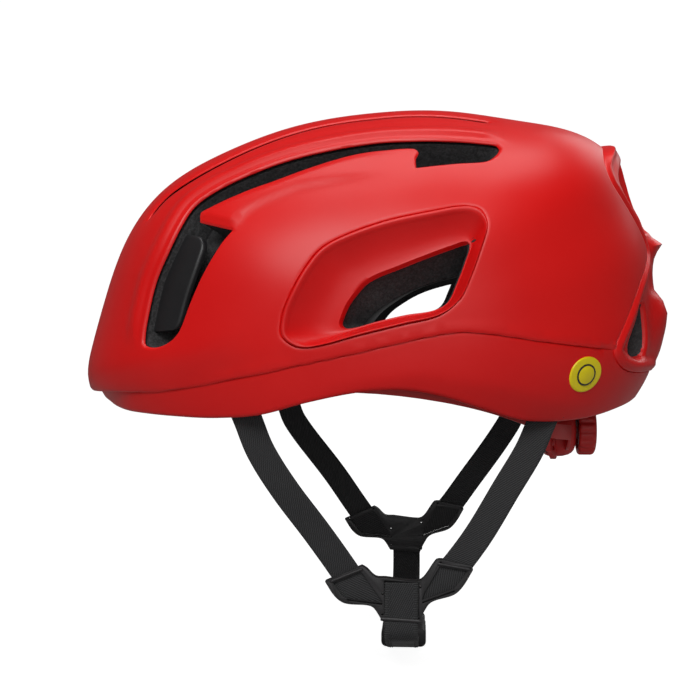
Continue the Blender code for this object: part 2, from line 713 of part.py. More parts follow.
def turned(name, origin, axis, profile, material, segments=24, pivot=None, shape=None):
    """A solid of revolution: profile is (distance along the axis, radius), shape scales each radius."""
    axis = unit(axis)
    side = unit(np.cross(axis, (0, 0, 1) if abs(axis[2]) < 0.9 else (1, 0, 0)))
    up = np.cross(axis, side)
    turn = 2 * math.pi * np.arange(segments) / segments
    circle = np.cos(turn)[:, None] * side + np.sin(turn)[:, None] * up
    rings = []
    for i, (along, radius) in enumerate(profile):
        scale = np.ones(segments) if shape is None else shape(i, turn)
        rings.append(np.asarray(origin) + along * axis + circle * (radius * scale)[:, None])
    faces = [tuple(range(segments))[::-1]]
    for r in range(len(rings) - 1):
        for i in range(segments):
            j = (i + 1) % segments
            faces.append((r * segments + i, r * segments + j, (r + 1) * segments + j, (r + 1) * segments + i))
    last = (len(rings) - 1) * segments
    faces.append(tuple(last + i for i in range(segments)))
    return add_object(name, np.concatenate(rings), faces, material, origin if pivot is None else pivot)


def wall_normal(radius, direction):
    """Outward normal of a surface at one direction."""
    east = unit(np.cross((0, 0, 1), direction))
    north = np.cross(direction, east)
    ring = unit(np.array([direction + 0.01 * v for v in (east, north, -east, -north)]))
    places = ring * radius(ring)[:, None]
    return unit(np.cross(places[0] - places[2], places[1] - places[3]))


def build_studs(material):
    """T-shaped studs from the foam through the slip liner's arc slots."""
    neck = SLIP_CLEARANCE + SLIP_WALL + STUD_PLAY
    for name, direction in stud_directions().items():
        normal = wall_normal(head_radius, direction)
        foot = direction * head_radius(direction[None])[0] - 2 * GAP * normal
        profile = [(0, STUD_RADIUS + 0.001), (0.0007, STUD_RADIUS + 0.001), (0.0008, STUD_RADIUS),
                   (neck, STUD_RADIUS), (neck + 0.0003, STUD_HEAD), (neck + 0.0018, STUD_HEAD - 0.0006)]
        turned("slip_stud_" + name, foot, -normal, profile, material, 16)


def pad(name, loop, material, spacing=0.012):
    dome = Dome([loop], spacing=spacing)
    outer = -SLIP_CLEARANCE - SLIP_WALL - 2 * GAP
    slab(name, dome, dome.faces, outer, outer - PAD_THICKNESS, material, head_radius, 0.0)


def build_pads(material):
    across = np.radians(np.linspace(-44, 44, 12))
    edge = []
    for turn, height in [*zip(across, np.full(12, -0.0045)), *zip(across[::-1], np.full(12, 0.0135))]:
        flat = np.array([[-math.cos(turn), -math.sin(turn), 0]])
        edge.append(np.append(flat[0, :2] * head_radius(flat)[0], height))
    pad("brow_pad", unit(np.array(edge)), material)
    for side, sign in SIDES.items():
        pad("crown_pad_" + side, from_above(oval(-50, 50, 13, 26), sign, head_radius), material)
        patch = [(-54, -3), (-56, 6), (-52, 15), (-42, 19), (-28, 18.5), (-16, 15), (-11, 8), (-13, -1), (-20, -4),
                 (-40, -4.5)]
        pad("side_pad_" + side, from_side(patch, sign, head_radius), material)


# ---------------------------------------------------------------- straps


def band(name, places, across, width, thickness, material, pivot=(0, 0, 0), grow=0.0):
    """A flat strip along a path. Across is its width direction, grow enlarges it as a cutter."""
    places = np.asarray(places, float)
    course = unit(np.gradient(places, axis=0))
    across = np.broadcast_to(np.asarray(across, float), places.shape)
    across = unit(across - (across * course).sum(axis=1, keepdims=True) * course)
    normal = np.cross(course, across)
    w, t = width / 2 + grow, thickness / 2 + grow
    rings = [places + sw * w * across + st * t * normal for sw, st in ((-1, -1), (1, -1), (1, 1), (-1, 1))]
    points = np.stack(rings, axis=1).reshape(-1, 3)
    faces = [(3, 2, 1, 0)]
    last = 4 * (len(places) - 1)
    for r in range(len(places) - 1):
        for i in range(4):
            j = (i + 1) % 4
            faces.append((4 * r + i, 4 * r + j, 4 * r + 4 + j, 4 * r + 4 + i))
    faces.append((last, last + 1, last + 2, last + 3))
    return add_object(name, points, faces, material, pivot)


def divider_height(side):
    """Height of a divider: the right one is slid a little up its straps."""
    return -DIVIDER_DROP + (RIGHT_LIFT if side > 0 else 0)


def strap_paths(side):
    """Centre lines of the front and rear straps, from their pockets down to the divider."""
    out = DIVIDER_SPREAD
    drop = divider_height(side)
    middle = DIVIDER_X
    front = [(-0.0578, 0.0845, -0.0290), (-0.0540, 0.0840, -0.0385), (-0.0483, 0.0826, -0.0530),
             (-0.0373, 0.0800, -0.0710), (middle - 0.0385, out + 0.0018, drop + 0.0310),
             (middle - 0.0285, out + 0.0002, drop + 0.0170), (middle - 0.0205, out, drop + 0.0055)]
    edge = 0.0877 - STRAP_WIDTH / 2
    rear = [(edge, 0.0745, -0.0305), (edge - 0.0042, 0.0745, -0.0400), (edge - 0.0100, 0.0746, -0.0537),
            (0.0611, 0.0750, -0.0710), (middle + 0.0351, out, drop + 0.0312),
            (middle + 0.0262, out, drop + 0.0185), (middle + 0.0190, out, drop + 0.0095)]
    front = np.array(front) * (1, side, 1)
    rear = np.array(rear) * (1, side, 1)
    front[:4] *= 1000 * UNIT
    rear[:4] *= 1000 * UNIT
    return {"front": front, "rear": rear}


def flat_across(places):
    """Width directions that keep a strap's face outwards."""
    course = unit(np.gradient(places, axis=0))
    return np.cross(course, (0, 1, 0))


def strap_curve(places):
    return smooth_curve(places, np.full(len(places), 3), closed=False)


def anchor_frame(places, side):
    """Foot, direction, width and outward axes of the pocket at the top of a strap."""
    course = unit(places[0] - places[1])
    across = unit(np.cross(course, (0, side, 0)))
    return places[0], course, across, np.cross(across, course)


def oriented_box(name, centre, axes, sizes, material=None):
    """A box along three given axes."""
    corners = [(x, y, z) for z in (-1, 1) for y in (-1, 1) for x in (-1, 1)]
    points = [np.asarray(centre) + sum(c * s / 2 * np.asarray(a) for c, s, a in zip(corner, sizes, axes))
              for corner in corners]
    faces = [(0, 2, 3, 1), (4, 5, 7, 6), (0, 1, 5, 4), (2, 6, 7, 3), (0, 4, 6, 2), (1, 3, 7, 5)]
    if np.dot(np.cross(axes[0], axes[1]), axes[2]) < 0:
        faces = [f[::-1] for f in faces]
    return add_object(name, points, faces, material)


def build_straps(side, sign, foam, webbing, plastic):
    """Four pieces a side: two straps and the anchors that hold them in pockets of the foam."""
    for end, places in strap_paths(sign).items():
        curve = strap_curve(places)
        across = flat_across(curve)
        band(f"{end}_strap_{side}", curve, across, STRAP_WIDTH, STRAP_THICKNESS, webbing)
        foot, course, width, outward = anchor_frame(places, sign)
        outer = (STRAP_WIDTH + 2 * ANCHOR_WALL + 2 * GAP, STRAP_THICKNESS + 2 * ANCHOR_WALL + 2 * GAP)
        middle = foot - course * 0.001
        anchor = oriented_box(f"strap_anchor_{end}_{side}", middle, (width, outward, course),
                              (*outer, ANCHOR_HEIGHT), plastic)
        slot = band("cut slot " + anchor.name, [foot - 0.02 * course, foot + GAP * 2 * course], width,
                    STRAP_WIDTH, STRAP_THICKNESS, None, grow=GAP)
        cut(anchor, [slot])
        pocket = oriented_box("cut pocket " + anchor.name, middle - course * 0.010, (width, outward, course),
                              (outer[0] + 2 * GAP, outer[1] + 2 * GAP, ANCHOR_HEIGHT + 0.020 + 2 * GAP))
        cut(foam, [pocket])


def prism(name, outline, axis, low, high, material, pivot=(0, 0, 0)):
    """An outline extruded along a world axis. Outline points are the other two axes in X, Y, Z order."""
    outline = np.asarray(outline, float)
    n = len(outline)
    places = np.concatenate([np.insert(outline, axis, low, axis=1), np.insert(outline, axis, high, axis=1)])
    nxt = np.roll(outline, -1, axis=0)
    turns_left = (outline[:, 0] * nxt[:, 1] - outline[:, 1] * nxt[:, 0]).sum() > 0
    forward = turns_left != (axis == 1)
    cap = tuple(range(n))
    faces = [cap[::-1], tuple(i + n for i in cap)]
    faces += [(i, (i + 1) % n, (i + 1) % n + n, i + n) for i in range(n)]
    if not forward:
        faces = [f[::-1] for f in faces]
    return add_object(name, places, faces, material, pivot)


def rounded_rectangle(centre, width, height, radius, count=4):
    points = []
    for corner, (sx, sy) in enumerate(((1, 1), (-1, 1), (-1, -1), (1, -1))):
        for i in range(count + 1):
            turn = math.pi / 2 * (corner + i / count)
            points.append((centre[0] + sx * (width / 2 - radius) + radius * math.cos(turn),
                           centre[1] + sy * (height / 2 - radius) + radius * math.sin(turn)))
    return points


def build_divider(side, sign, plastic):
    outline = np.array(DIVIDER_OUTLINE) / 1000 + (DIVIDER_X, divider_height(sign))
    face = sign * (DIVIDER_SPREAD - DIVIDER_THICKNESS / 2), sign * (DIVIDER_SPREAD + DIVIDER_THICKNESS / 2)
    divider = prism("divider_" + side, outline, 1, min(face), max(face), plastic)
    cutters = []
    for end, places in strap_paths(sign).items():
        curve = strap_curve(places)
        tail = curve[-1] + unit(curve[-1] - curve[-2]) * 2 * GAP
        curve = np.concatenate([curve[-8:-1], [tail]])
        cutters.append(band(f"cut {end} {side}", curve, flat_across(curve), STRAP_WIDTH, STRAP_THICKNESS,
                            None, grow=GAP))
    cut(divider, cutters)


def build_chin_strap(side, sign, webbing):
    """Webbing from the divider's outer face round to the buckle."""
    out = DIVIDER_SPREAD + DIVIDER_THICKNESS / 2 + STRAP_THICKNESS / 2 + GAP
    end = BUCKLE_LENGTH / 2 - 0.005
    drop = -BUCKLE_DROP
    top = divider_height(sign)
    path = [(out, top + 0.0085), (out, top - 0.006), (out, top - 0.0155),
            (0.070, drop + 0.0100), (0.050, drop + 0.0035), (0.034, drop), (end, drop)]
    path = [(DIVIDER_X, sign * y, z) for y, z in path]
    curve = strap_curve(np.array(path))
    pivot = (DIVIDER_X, sign * end, drop) if side == "right" else (0, 0, 0)
    band("chin_strap_" + side, curve, (1, 0, 0), STRAP_WIDTH, STRAP_THICKNESS, webbing, pivot)


# ---------------------------------------------------------------- buckle


def build_buckle(plastic):
    """Socket on the left strap, clip with two sprung prongs on the right one."""
    centre = np.array([DIVIDER_X, 0, -BUCKLE_DROP])
    half = BUCKLE_LENGTH / 2
    tongue = BUCKLE_HEIGHT / 2 - 0.0019
    block = half - 0.009

    def box(name, low, high, material=None, pivot=(0, 0, 0)):
        low, high = centre + low, centre + high
        return add_object(name, *box_mesh(low, high), material, pivot)

    body = prism("buckle_socket", rounded_rectangle(centre[[0, 2]], BUCKLE_WIDTH, BUCKLE_HEIGHT, 0.0026),
                 1, -half, 0.004, plastic)
    reach = STRAP_WIDTH / 2 + GAP, STRAP_THICKNESS / 2 + GAP
    cut(body, [
        box("cut mouth", (-BUCKLE_WIDTH, -block, -tongue), (BUCKLE_WIDTH, 0.02, tongue)),
        box("cut left strap", (-reach[0], -half - 0.01, -reach[1]), (reach[0], -half + 0.0056, reach[1])),
    ])
    rest = (centre[0], 0.008, centre[2])
    clip = prism("buckle_clip", rounded_rectangle(centre[[0, 2]], BUCKLE_WIDTH - 0.001, BUCKLE_HEIGHT - 0.0006,
                                                 0.0024), 1, 0.008, half, plastic, rest)
    cut(clip, [box("cut right strap", (-reach[0], half - 0.0056, -reach[1]), (reach[0], half + 0.01, reach[1]))])
    lip = tongue - GAP
    box("buckle_tongue", (-0.0025, -block + 0.002, -lip), (0.0025, 0.008 - GAP, lip), plastic, rest)
    for name, sign in (("front", -1), ("rear", 1)):
        inner, edge = 0.0050, BUCKLE_WIDTH / 2
        outline = [(inner, 0.0077), (inner + PRONG_WIDTH, 0.0077), (inner + PRONG_WIDTH, 0.0010),
                   (edge, -0.0010), (edge - 0.0008, -0.0062), (inner + PRONG_WIDTH, -0.0085), (inner, -0.0085)]
        outline = [(centre[0] + sign * x, y) for x, y in outline]
        hinge = (centre[0] + sign * (inner + PRONG_WIDTH / 2), 0.0075, centre[2])
        prism("buckle_prong_" + name, outline, 2, centre[2] - lip, centre[2] + lip, plastic, hinge)


def box_mesh(low, high):
    """Corners and faces of an upright box."""
    places = [(x, y, z) for z in (low[2], high[2]) for y in (low[1], high[1]) for x in (low[0], high[0])]
    faces = [(0, 2, 3, 1), (4, 5, 7, 6), (0, 1, 5, 4), (2, 6, 7, 3), (0, 4, 6, 2), (1, 3, 7, 5)]
    return places, faces


# ---------------------------------------------------------------- fit system


def temple_wall(sign):
    """Where the temple pivot's axis meets the foam's inner wall."""
    return onto(head_radius, [[TEMPLE_X, 0, TEMPLE_Z]], 1, sign)[0]


def band_path(sign):
    """Centre line of a fit band, from the temple round the wall and into the dial housing."""
    start = math.atan2(temple_wall(1)[1], TEMPLE_X - 0.0055)
    places = []
    for turn in np.linspace(start, math.radians(30), 14):
        level = np.array([[math.cos(turn), math.sin(turn), 0]])
        radius = head_radius(level)[0] - BAND_SET_IN
        share = (start - turn) / (start - math.radians(30))
        places.append((*(level[0, :2] * radius), TEMPLE_Z + (DIAL_Z + 0.004 - TEMPLE_Z) * share**3))
    rack_x = rack_place()
    places.append((rack_x - 0.0006, HOUSING_WIDTH / 2 + 0.006, DIAL_Z + 0.001))
    return np.array(places) * (1, sign, 1)


def rack_place():
    return DIAL_X - HOUSING_DEPTH / 2 - 0.0012


def build_fit_bands(plastic):
    """Each band with its rack: one above the pinion, the other below it."""
    pitch = 2 * math.pi * PINION_RADIUS / PINION_TEETH
    for side, sign in SIDES.items():
        path = band_path(sign)
        curve = strap_curve(path)
        height = sign * (PINION_RADIUS + 0.0030)
        bar = [(curve[-1][0], sign * HOUSING_WIDTH / 2, DIAL_Z + height * 0.55),
               (curve[-1][0], sign * (HOUSING_WIDTH / 2 - 0.006), DIAL_Z + height)]
        curve = np.concatenate([curve, bar])
        eye = temple_wall(sign) - (0, sign * BAND_SET_IN, 0)
        width = np.concatenate([np.linspace(BAND_HEIGHT, BAND_HEIGHT - 0.003, len(curve) - 2), [0.0045, 0.0034]])
        name = "fit_band_" + side
        body = rack_band(name, curve, width, sign, height, pitch, plastic)
        hole = turned("cut eye " + side, eye - (0, 0.004 * sign, 0), (0, sign, 0),
                      [(0, 0.0023), (0.008, 0.0023)], None, 16)
        cut(body, [hole])


def rack_band(name, curve, width, sign, height, pitch, plastic):
    """The band and its toothed bar as one body, both of the band's thickness along X at the rear."""
    upright = np.array([0, 0, 1.0])
    course = unit(np.gradient(curve, axis=0))
    normal = unit(np.cross(course, upright))
    t = BAND_THICKNESS / 2
    rows = []
    for place, n, w in zip(curve, normal, width):
        rows.append([place + upright * s * w / 2 + n * k * t for s, k in ((-1, -1), (1, -1), (1, 1), (-1, 1))])
    teeth, end = [], -sign * 0.0115
    y = curve[-1][1]
    deep = 0.0014
    inner = DIAL_Z + height - math.copysign(0.0017, height)
    outer = DIAL_Z + height + math.copysign(0.0017, height)
    centres = (np.arange(-8, 8) + 0.5) * pitch
    centres = centres[(centres > min(y, end) + 0.0012) & (centres < max(y, end) - 0.0012)]
    for c in centres[:: -1 if sign > 0 else 1]:
        direction = -sign
        teeth += [(c - direction * 0.0008, inner), (c - direction * 0.0003, inner - math.copysign(deep, height)),
                  (c + direction * 0.0003, inner - math.copysign(deep, height)), (c + direction * 0.0008, inner)]
    profile = [(y, inner), *teeth, (end, inner), (end, outer), (y, outer)]
    points = np.array(rows).reshape(-1, 3).tolist()
    faces = [(3, 2, 1, 0)]
    for r in range(len(curve) - 1):
        for i in range(4):
            j = (i + 1) % 4
            faces.append((4 * r + i, 4 * r + j, 4 * r + 4 + j, 4 * r + 4 + i))
    last = 4 * (len(curve) - 1)
    base = len(points)
    x = curve[-1][0]
    points += [(x - t, a, b) for a, b in profile] + [(x + t, a, b) for a, b in profile]
    n = len(profile)
    # The bar's first edge is the last ring of the band.
    ring = [last, last + 1, last + 2, last + 3]
    points = np.array(points)
    order = match_ring(points, ring, base, n)
    remap = {base: order[0], base + n - 1: order[1], base + n: order[2], base + 2 * n - 1: order[3]}
    cap = [base + i for i in range(n)]
    back = [base + n + i for i in range(n)]
    sides = [(base + i, base + i + 1, base + n + i + 1, base + n + i) for i in range(n - 1)]
    extra = [tuple(cap[::-1]), tuple(back)] + sides
    extra = [tuple(remap.get(i, i) for i in f) for f in extra]
    volume = signed_volume(points, extra, closing=tuple(order[i] for i in (0, 1, 3, 2)))
    if volume < 0:
        extra = [f[::-1] for f in extra]
    if signed_volume(points, faces, closing=tuple(ring)) < 0:
        faces = [f[::-1] for f in faces]
    return add_object(name, *tidy(points, faces + extra), plastic, smooth=math.radians(30))


def match_ring(points, ring, base, n):
    """The band's last corners that stand for the bar's first four corners."""
    wanted = [base, base + n - 1, base + n, base + 2 * n - 1]
    return [min(ring, key=lambda i: np.linalg.norm(points[i] - points[w])) for w in wanted]


def signed_volume(points, faces, closing):
    total = 0.0
    centre = points[list(closing)].mean(axis=0)
    for f in faces:
        for i in range(1, len(f) - 1):
            a, b, c = (points[k] - centre for k in (f[0], f[i], f[i + 1]))
            total += np.dot(a, np.cross(b, c))
    return total


def tidy(points, faces):
    used, index = np.unique(np.concatenate([np.array(f) for f in faces]), return_inverse=True)
    ends = np.cumsum([len(f) for f in faces])
    return points[used], np.split(index.reshape(-1), ends[:-1])


def build_temple_pivots(plastic):
    for side, sign in SIDES.items():
        set_in = 0.0024
        start = temple_wall(sign) - (0, sign * set_in, 0)
        gap = BAND_SET_IN - set_in
        profile = [(0, 0.0044), (gap - BAND_THICKNESS / 2 - 0.0012, 0.0044),
                   (gap - BAND_THICKNESS / 2 - 0.0011, 0.0019), (gap + BAND_THICKNESS / 2 + 0.0013, 0.0019),
                   (gap + BAND_THICKNESS / 2 + 0.0014, 0.0042), (gap + BAND_THICKNESS / 2 + 0.0024, 0.0036)]
        turned("temple_pivot_" + side, start, (0, -sign, 0), profile, plastic, 20)


def build_dial(red, black, steel):
    """Housing, dial, pinion, screw, ratchet spring, cradle and its pad, in line along X."""
    hub = (DIAL_X, 0, DIAL_Z)
    cradle_pivot = (TEMPLE_X, 0, TEMPLE_Z)
    back = DIAL_X - 0.0012
    front = back - HOUSING_DEPTH
    face = rounded_rectangle((0, DIAL_Z), HOUSING_WIDTH, HOUSING_HEIGHT, 0.006)
    housing = prism("dial_housing", face, 0, front, back, red, cradle_pivot)
    room = HOUSING_HEIGHT / 2 - 0.0018
    hollow = add_object("cut racks", *box_mesh((front + 0.0012, -HOUSING_WIDTH, DIAL_Z - room),
                                              (back - 0.0016, HOUSING_WIDTH, DIAL_Z + room)), None)
    bore = turned("cut bore", (back - 0.01, 0, DIAL_Z), (1, 0, 0), [(0.002, 0.0024), (0.02, 0.0024)], None, 16)
    cut(housing, [hollow, bore])
    rack = rack_place()
    build_pinion(rack, hub, red)
    rim = DIAL_RADIUS
    cup = rim - 0.0030
    profile = [(0, 0.0046), (0.0036, 0.0046), (0.0036, cup), (0, cup), (0, rim - 0.0006), (0.0008, rim),
               (DIAL_DEPTH - 0.0022, rim),
               (DIAL_DEPTH - 0.0007, rim - 0.0016), (DIAL_DEPTH, rim - 0.0042), (DIAL_DEPTH, 0.0038),
               (DIAL_DEPTH - 0.0024, 0.0036)]
    grip = {4, 5, 6}
    dial = turned("dial", hub, (1, 0, 0), profile, red, 48, hub,
                  lambda i, turn: 1 - (0.022 * (1 + np.cos(16 * turn)) if i in grip else 0 * turn))
    shank = turned("cut shank", hub, (1, 0, 0), [(-0.001, 0.0013), (DIAL_DEPTH + 0.001, 0.0013)], None, 16)
    cut(dial, [shank])
    seat = DIAL_DEPTH - 0.0024 + GAP
    turned("dial_screw", hub, (1, 0, 0), [(-0.0030, 0.0009), (seat, 0.0009), (seat, 0.0028), (seat + 0.0012, 0.0028),
                                          (seat + 0.0016, 0.0022)], steel, 16, hub)
    turn = np.radians(np.linspace(20, 250, 18))
    ripple = 0.0070 + 0.0006 * np.cos(6 * turn)
    arc = np.stack([np.full(18, DIAL_X + 0.0012), ripple * np.cos(turn), DIAL_Z + ripple * np.sin(turn)], 1)
    band("detent_spring", arc, (1, 0, 0), 0.0022, 0.0005, steel, cradle_pivot)
    build_cradle(front, red, black, cradle_pivot)


def build_pinion(rack, hub, red):
    thick = 0.0036
    segments = PINION_TEETH * 6

    def toothed(i, turn):
        if i > 1:
            return np.ones(len(turn))
        phase = (turn * PINION_TEETH / (2 * math.pi) + 0.5) % 1 - 0.5
        tip = (PINION_RADIUS + 0.0008) / PINION_RADIUS
        root = (PINION_RADIUS - 0.0010) / PINION_RADIUS
        return np.where(np.abs(phase) < 0.17, tip, root)

    start = rack - thick / 2
    profile = [(0, PINION_RADIUS), (thick, PINION_RADIUS), (thick, 0.0021), (hub[0] - start - GAP, 0.0021),
               (hub[0] - start - GAP, 0.0012), (thick / 2, 0.0012)]
    turned("pinion", (start, 0, DIAL_Z), (1, 0, 0), profile, red, segments, hub, toothed)


def build_cradle(front, red, black, pivot):
    """The curved plate that cups the back of the head, and its pad."""
    back = front - GAP
    wall = 0.0018
    spread = 0.036
    bow = 0.0060
    for name, far, deep, height, colour in (
        ("cradle", back, wall, HOUSING_HEIGHT + 0.001, red),
        ("cradle_pad", back - wall - GAP, 0.0040, HOUSING_HEIGHT - 0.004, black),
    ):
        width = spread if name == "cradle" else spread - 0.006
        y = np.linspace(-width, width, 13)
        x = far - deep / 2 - bow * (y / spread) ** 2
        places = np.stack([x, y, np.full(13, DIAL_Z)], 1)
        band(name, places, (0, 0, 1), height, deep, colour, pivot)


def build_badge(material):
    direction = from_side([(95.4, -18.6)], -1)[0]
    ring = ring_about(direction, shell_radius, BADGE_RADIUS, BADGE_RADIUS, 24, 2)
    dome = Dome([ring], spacing=0.006)
    under = tuck(dome.points) + GAP
    slab("side_badge", dome, dome.faces, under + 0.0007, under, material, inset=0.0)


def main():
    clear_scene()
    red = make_material("red shell", RED, 0.35)
    scoop = make_material("red bezel", RED, 0.38)
    plastic = make_material("black plastic", BLACK, 0.5)
    moulded = make_material("red nylon", RED, 0.45)
    webbing = make_material("black webbing", BLACK, 0.85)
    foam = make_material("charcoal foam", (0.03, 0.03, 0.032), 0.9)
    slip = make_material("slip film", (0.02, 0.02, 0.02), 0.4)
    cushion = make_material("pad cloth", (0.015, 0.015, 0.016), 0.95)
    rubber = make_material("elastomer", (0.02, 0.02, 0.02), 0.7)
    steel = make_material("steel", (0.6, 0.6, 0.6), 0.3, 1.0)
    yellow = make_material("badge yellow", (0.85, 0.72, 0.02), 0.4)
    dome, number = shell_dome()
    label = label_shell(dome, number)
    heights = shell_heights(dome, number)
    build_shells(dome, label, heights, red)
    liner = build_foam(dome, number, label, heights, foam)
    for side in SIDES:
        bpy.data.objects["side_bezel_" + side].data.materials[0] = scoop
    build_slip_liner(slip)
    build_studs(rubber)
    build_pads(cushion)
    for side, sign in SIDES.items():
        build_straps(side, sign, liner, webbing, plastic)
        build_divider(side, sign, plastic)
        build_chin_strap(side, sign, webbing)
    build_buckle(plastic)
    build_fit_bands(moulded)
    build_temple_pivots(plastic)
    build_dial(moulded, cushion, steel)
    build_badge(yellow)


main()
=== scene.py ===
"""Looks of the cycling helmet: finely meshed shells, foam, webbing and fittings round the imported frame.

Metres in the objects, thousandths of a metre in the outline tables. The brow points towards -X and the
wearer's left towards -Y.
"""

import math

import bmesh
import bpy
import numpy as np
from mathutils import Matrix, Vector
from mathutils.geometry import delaunay_2d_cdt
from mathutils.kdtree import KDTree


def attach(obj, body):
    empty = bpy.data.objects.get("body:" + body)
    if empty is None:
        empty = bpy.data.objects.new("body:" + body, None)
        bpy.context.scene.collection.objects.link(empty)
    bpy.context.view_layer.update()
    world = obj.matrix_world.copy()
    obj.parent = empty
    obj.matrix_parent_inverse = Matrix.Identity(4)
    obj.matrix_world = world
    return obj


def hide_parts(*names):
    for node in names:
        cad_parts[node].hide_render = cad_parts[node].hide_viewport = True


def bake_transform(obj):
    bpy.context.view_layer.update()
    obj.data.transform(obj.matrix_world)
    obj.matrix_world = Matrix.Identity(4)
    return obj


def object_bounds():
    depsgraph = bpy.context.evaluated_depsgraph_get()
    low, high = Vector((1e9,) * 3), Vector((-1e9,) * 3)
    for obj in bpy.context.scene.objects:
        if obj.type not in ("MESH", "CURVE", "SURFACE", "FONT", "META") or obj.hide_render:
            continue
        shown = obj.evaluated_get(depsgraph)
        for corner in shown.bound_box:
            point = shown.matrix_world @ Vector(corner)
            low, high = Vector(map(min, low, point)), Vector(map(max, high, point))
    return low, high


MM = 0.001
SIDES = {"left": -1, "right": 1}

# Sizes that the frame was made with, in thousandths of a metre
SHELL_WIDTH = 210
HEAD_LENGTH = 210
HEAD_WIDTH = 166
HEAD_HEIGHT = 86
SHELL_WALL = 1.2
LOWER_STEP = 0.9
TUCK_DEPTH = 3.0
SCOOP_DEPTH = 8.5
SLOT_WIDTH = 4.5
CHANNEL_DEPTH = 16
CHANNEL_FLOOR = 6
FOAM_GAP = 0.4
SLIP_CLEARANCE = 2.0
SLIP_WALL = 1.0
SLIP_TRAVEL = math.radians(4) * HEAD_LENGTH / 2
STUD_RADIUS = 3.0
STUD_HEAD = 5.5
STUD_PLAY = 2.0
PAD_GAP = 0.6
PAD_THICKNESS = 5.0
STRAP_WIDTH = 13.0
STRAP_THICKNESS = 1.5
CHIN_WIDTH = 15.0
DIVIDER_X = 14.7
DIVIDER_SPREAD = 75.0
DIVIDER_THICKNESS = 5.0
DIVIDER_DROP = 121.0
RIGHT_LIFT = 5.5
BUCKLE_LENGTH = 40.0
BUCKLE_DROP = 151.2
DIAL_X = 101.2
DIAL_Z = -50.0
DIAL_RADIUS = 12.5
DIAL_DEPTH = 9.0
BADGE_PLACE = (96.2, -18.8)
BADGE_RADIUS = 8.2
DOME_SIZE = 116.0  # a typical distance from the centre to the shell, which turns angles into lengths
HOUSING_REACH = 16.6  # from the dial forwards to its housing's front
# Mesh sizes
EDGE_STEP = 1.7
FILL_STEP = 2.8
FOAM_EDGE = 2.4
FOAM_FILL = 5.0

SIDE_PROFILE = [
    (-143.2, -22), (-141, -8), (-134.6, 15), (-123.6, 45), (-106, 69), (-77.5, 87), (-40, 101),
    (0, 107.5), (40, 107.5), (75, 102), (104, 94), (118, 82), (126.5, 62), (134, 38), (137, 10),
    (137, -14), (126, -36), (95, -72), (0, -112), (-95, -82), (-134, -45),
]
BRIM = [
    (0, -34.5), (10, -35.5), (20, -38), (30, -39), (40, -39.8), (52, -40), (63, -37.5), (75, -31.5),
    (88, -27), (98, -26), (108, -29), (120, -36.2), (131, -41.5), (143, -41), (155, -36.5), (167, -33.5),
    (180, -33),
]
SEAM = [(-140, -29.5), (-125, -28.9), (-108, -28.5), (-89, -26.6), (-58.5, -20.7), (-30, -14.5),
        (-11, -10.4), (6, -6.5), (24, -2.4), (40, 0.1), (55, -0.9), (77.5, -4.2), (103, -7.4)]
SIDE_VENT = [
    (-37, -1, -13.4, 4, -2, 3.5), (-36.5, 8, -12.4, 8, -1, 5), (-33, 17, -10, 13.6, 1.5, 7.5),
    (-27, 28, -6.2, 19.1, 5, 10.5), (-20, 36.5, -2, 24, 9, 13), (-9, 42.5, 4, 27.5, 13.5, 15.7),
    (8, 48.5, 13, 31, 20, 19), (28, 52.8, 27, 36.5, 30, 22.5), (42, 55, 39.5, 41, 40, 25),
    (49, 53, 46, 42.8, 47, 27), (51.5, 47, 48.2, 40.6, 49, 26), (49, 37, 46.4, 34, 48.5, 22),
    (44.5, 24, 42.2, 22.8, 47, 16.5), (40, 14.5, 38, 14.2, 43, 10.5), (31, 7.3, 31, 10.4, 35, 6.5),
    (15, 3.3, 18, 8.3, 22, 5.5), (-4, -1.4, 4, 5, 11, 3), (-23, -6.2, -6, 2.2, 4, 1.5),
    (-31, -6, -11.8, 2, -0.5, 1.5),
]
FRONT_VENT = [
    (-102, -6.5), (-102.6, -2), (-101.6, 6), (-97.8, 23), (-91.2, 38.5), (-86.4, 48.8), (-81.8, 56.6),
    (-75.6, 62), (-63, 69), (-43, 77), (-23.3, 82.3), (1.3, 86.5), (20.5, 87.3), (39, 86.9),
    (52, 85.8), (58, 84.8), (59.3, 82.8), (57, 79), (52.5, 76), (39, 74.8), (21, 72.8), (20.7, 77.5),
    (22, 80.6), (20, 82.3), (9, 81.9), (-5.7, 80), (-22.8, 75), (-42.2, 68), (-57, 62.8),
    (-72.9, 55.8), (-76.5, 53.5), (-76.2, 49.6), (-60, 45.5), (-65.5, 38.7), (-73.3, 25.5),
    (-79, 13), (-84, 0.5), (-88.8, -4.6), (-95.5, -7.3),
]
FRONT_VENT_CORNERS = (20, 31, 32)
UPPER_EDGE_END = 16
FRONT_WINDOW = [(-94, 3), (-92, 18), (-86, 33), (-80, 43.5), (-73.5, 44), (-76, 33), (-80.5, 18), (-86, 4)]
VENT_PANEL = [(-112, 1.5), (-92.5, 0.5), (-89.6, 3), (-86, 16), (-80, 34), (-78.2, 41), (-80, 45),
              (-86, 46.5), (-98, 48), (-108, 30)]
THIN_SLOT = [(-106, 47.5), (-98, 46.5), (-88, 48), (-78, 48), (-57, 45.5), (-35, 43), (-13, 41),
             (15, 41), (40, 43), (56, 44.5)]
REAR_EDGE = [(0, 91), (-20, 89), (-40, 83.5), (-51, 76.5), (-54.5, 68), (-47, 56), (-37, 43),
             (-36.5, 38), (-44, 32), (-55, 23.5), (-64, 12.5), (-74, -3), (-75, -9.5), (-70, -15.5),
             (-62, -18.3), (-45, -19), (-20, -19), (0, -19)]
UPPER_PORT = [(-9, 82), (-25, 80), (-39, 75.5), (-46, 69.5), (-44.5, 63), (-36, 52), (-28, 47.5),
              (-16, 47), (-9, 51)]
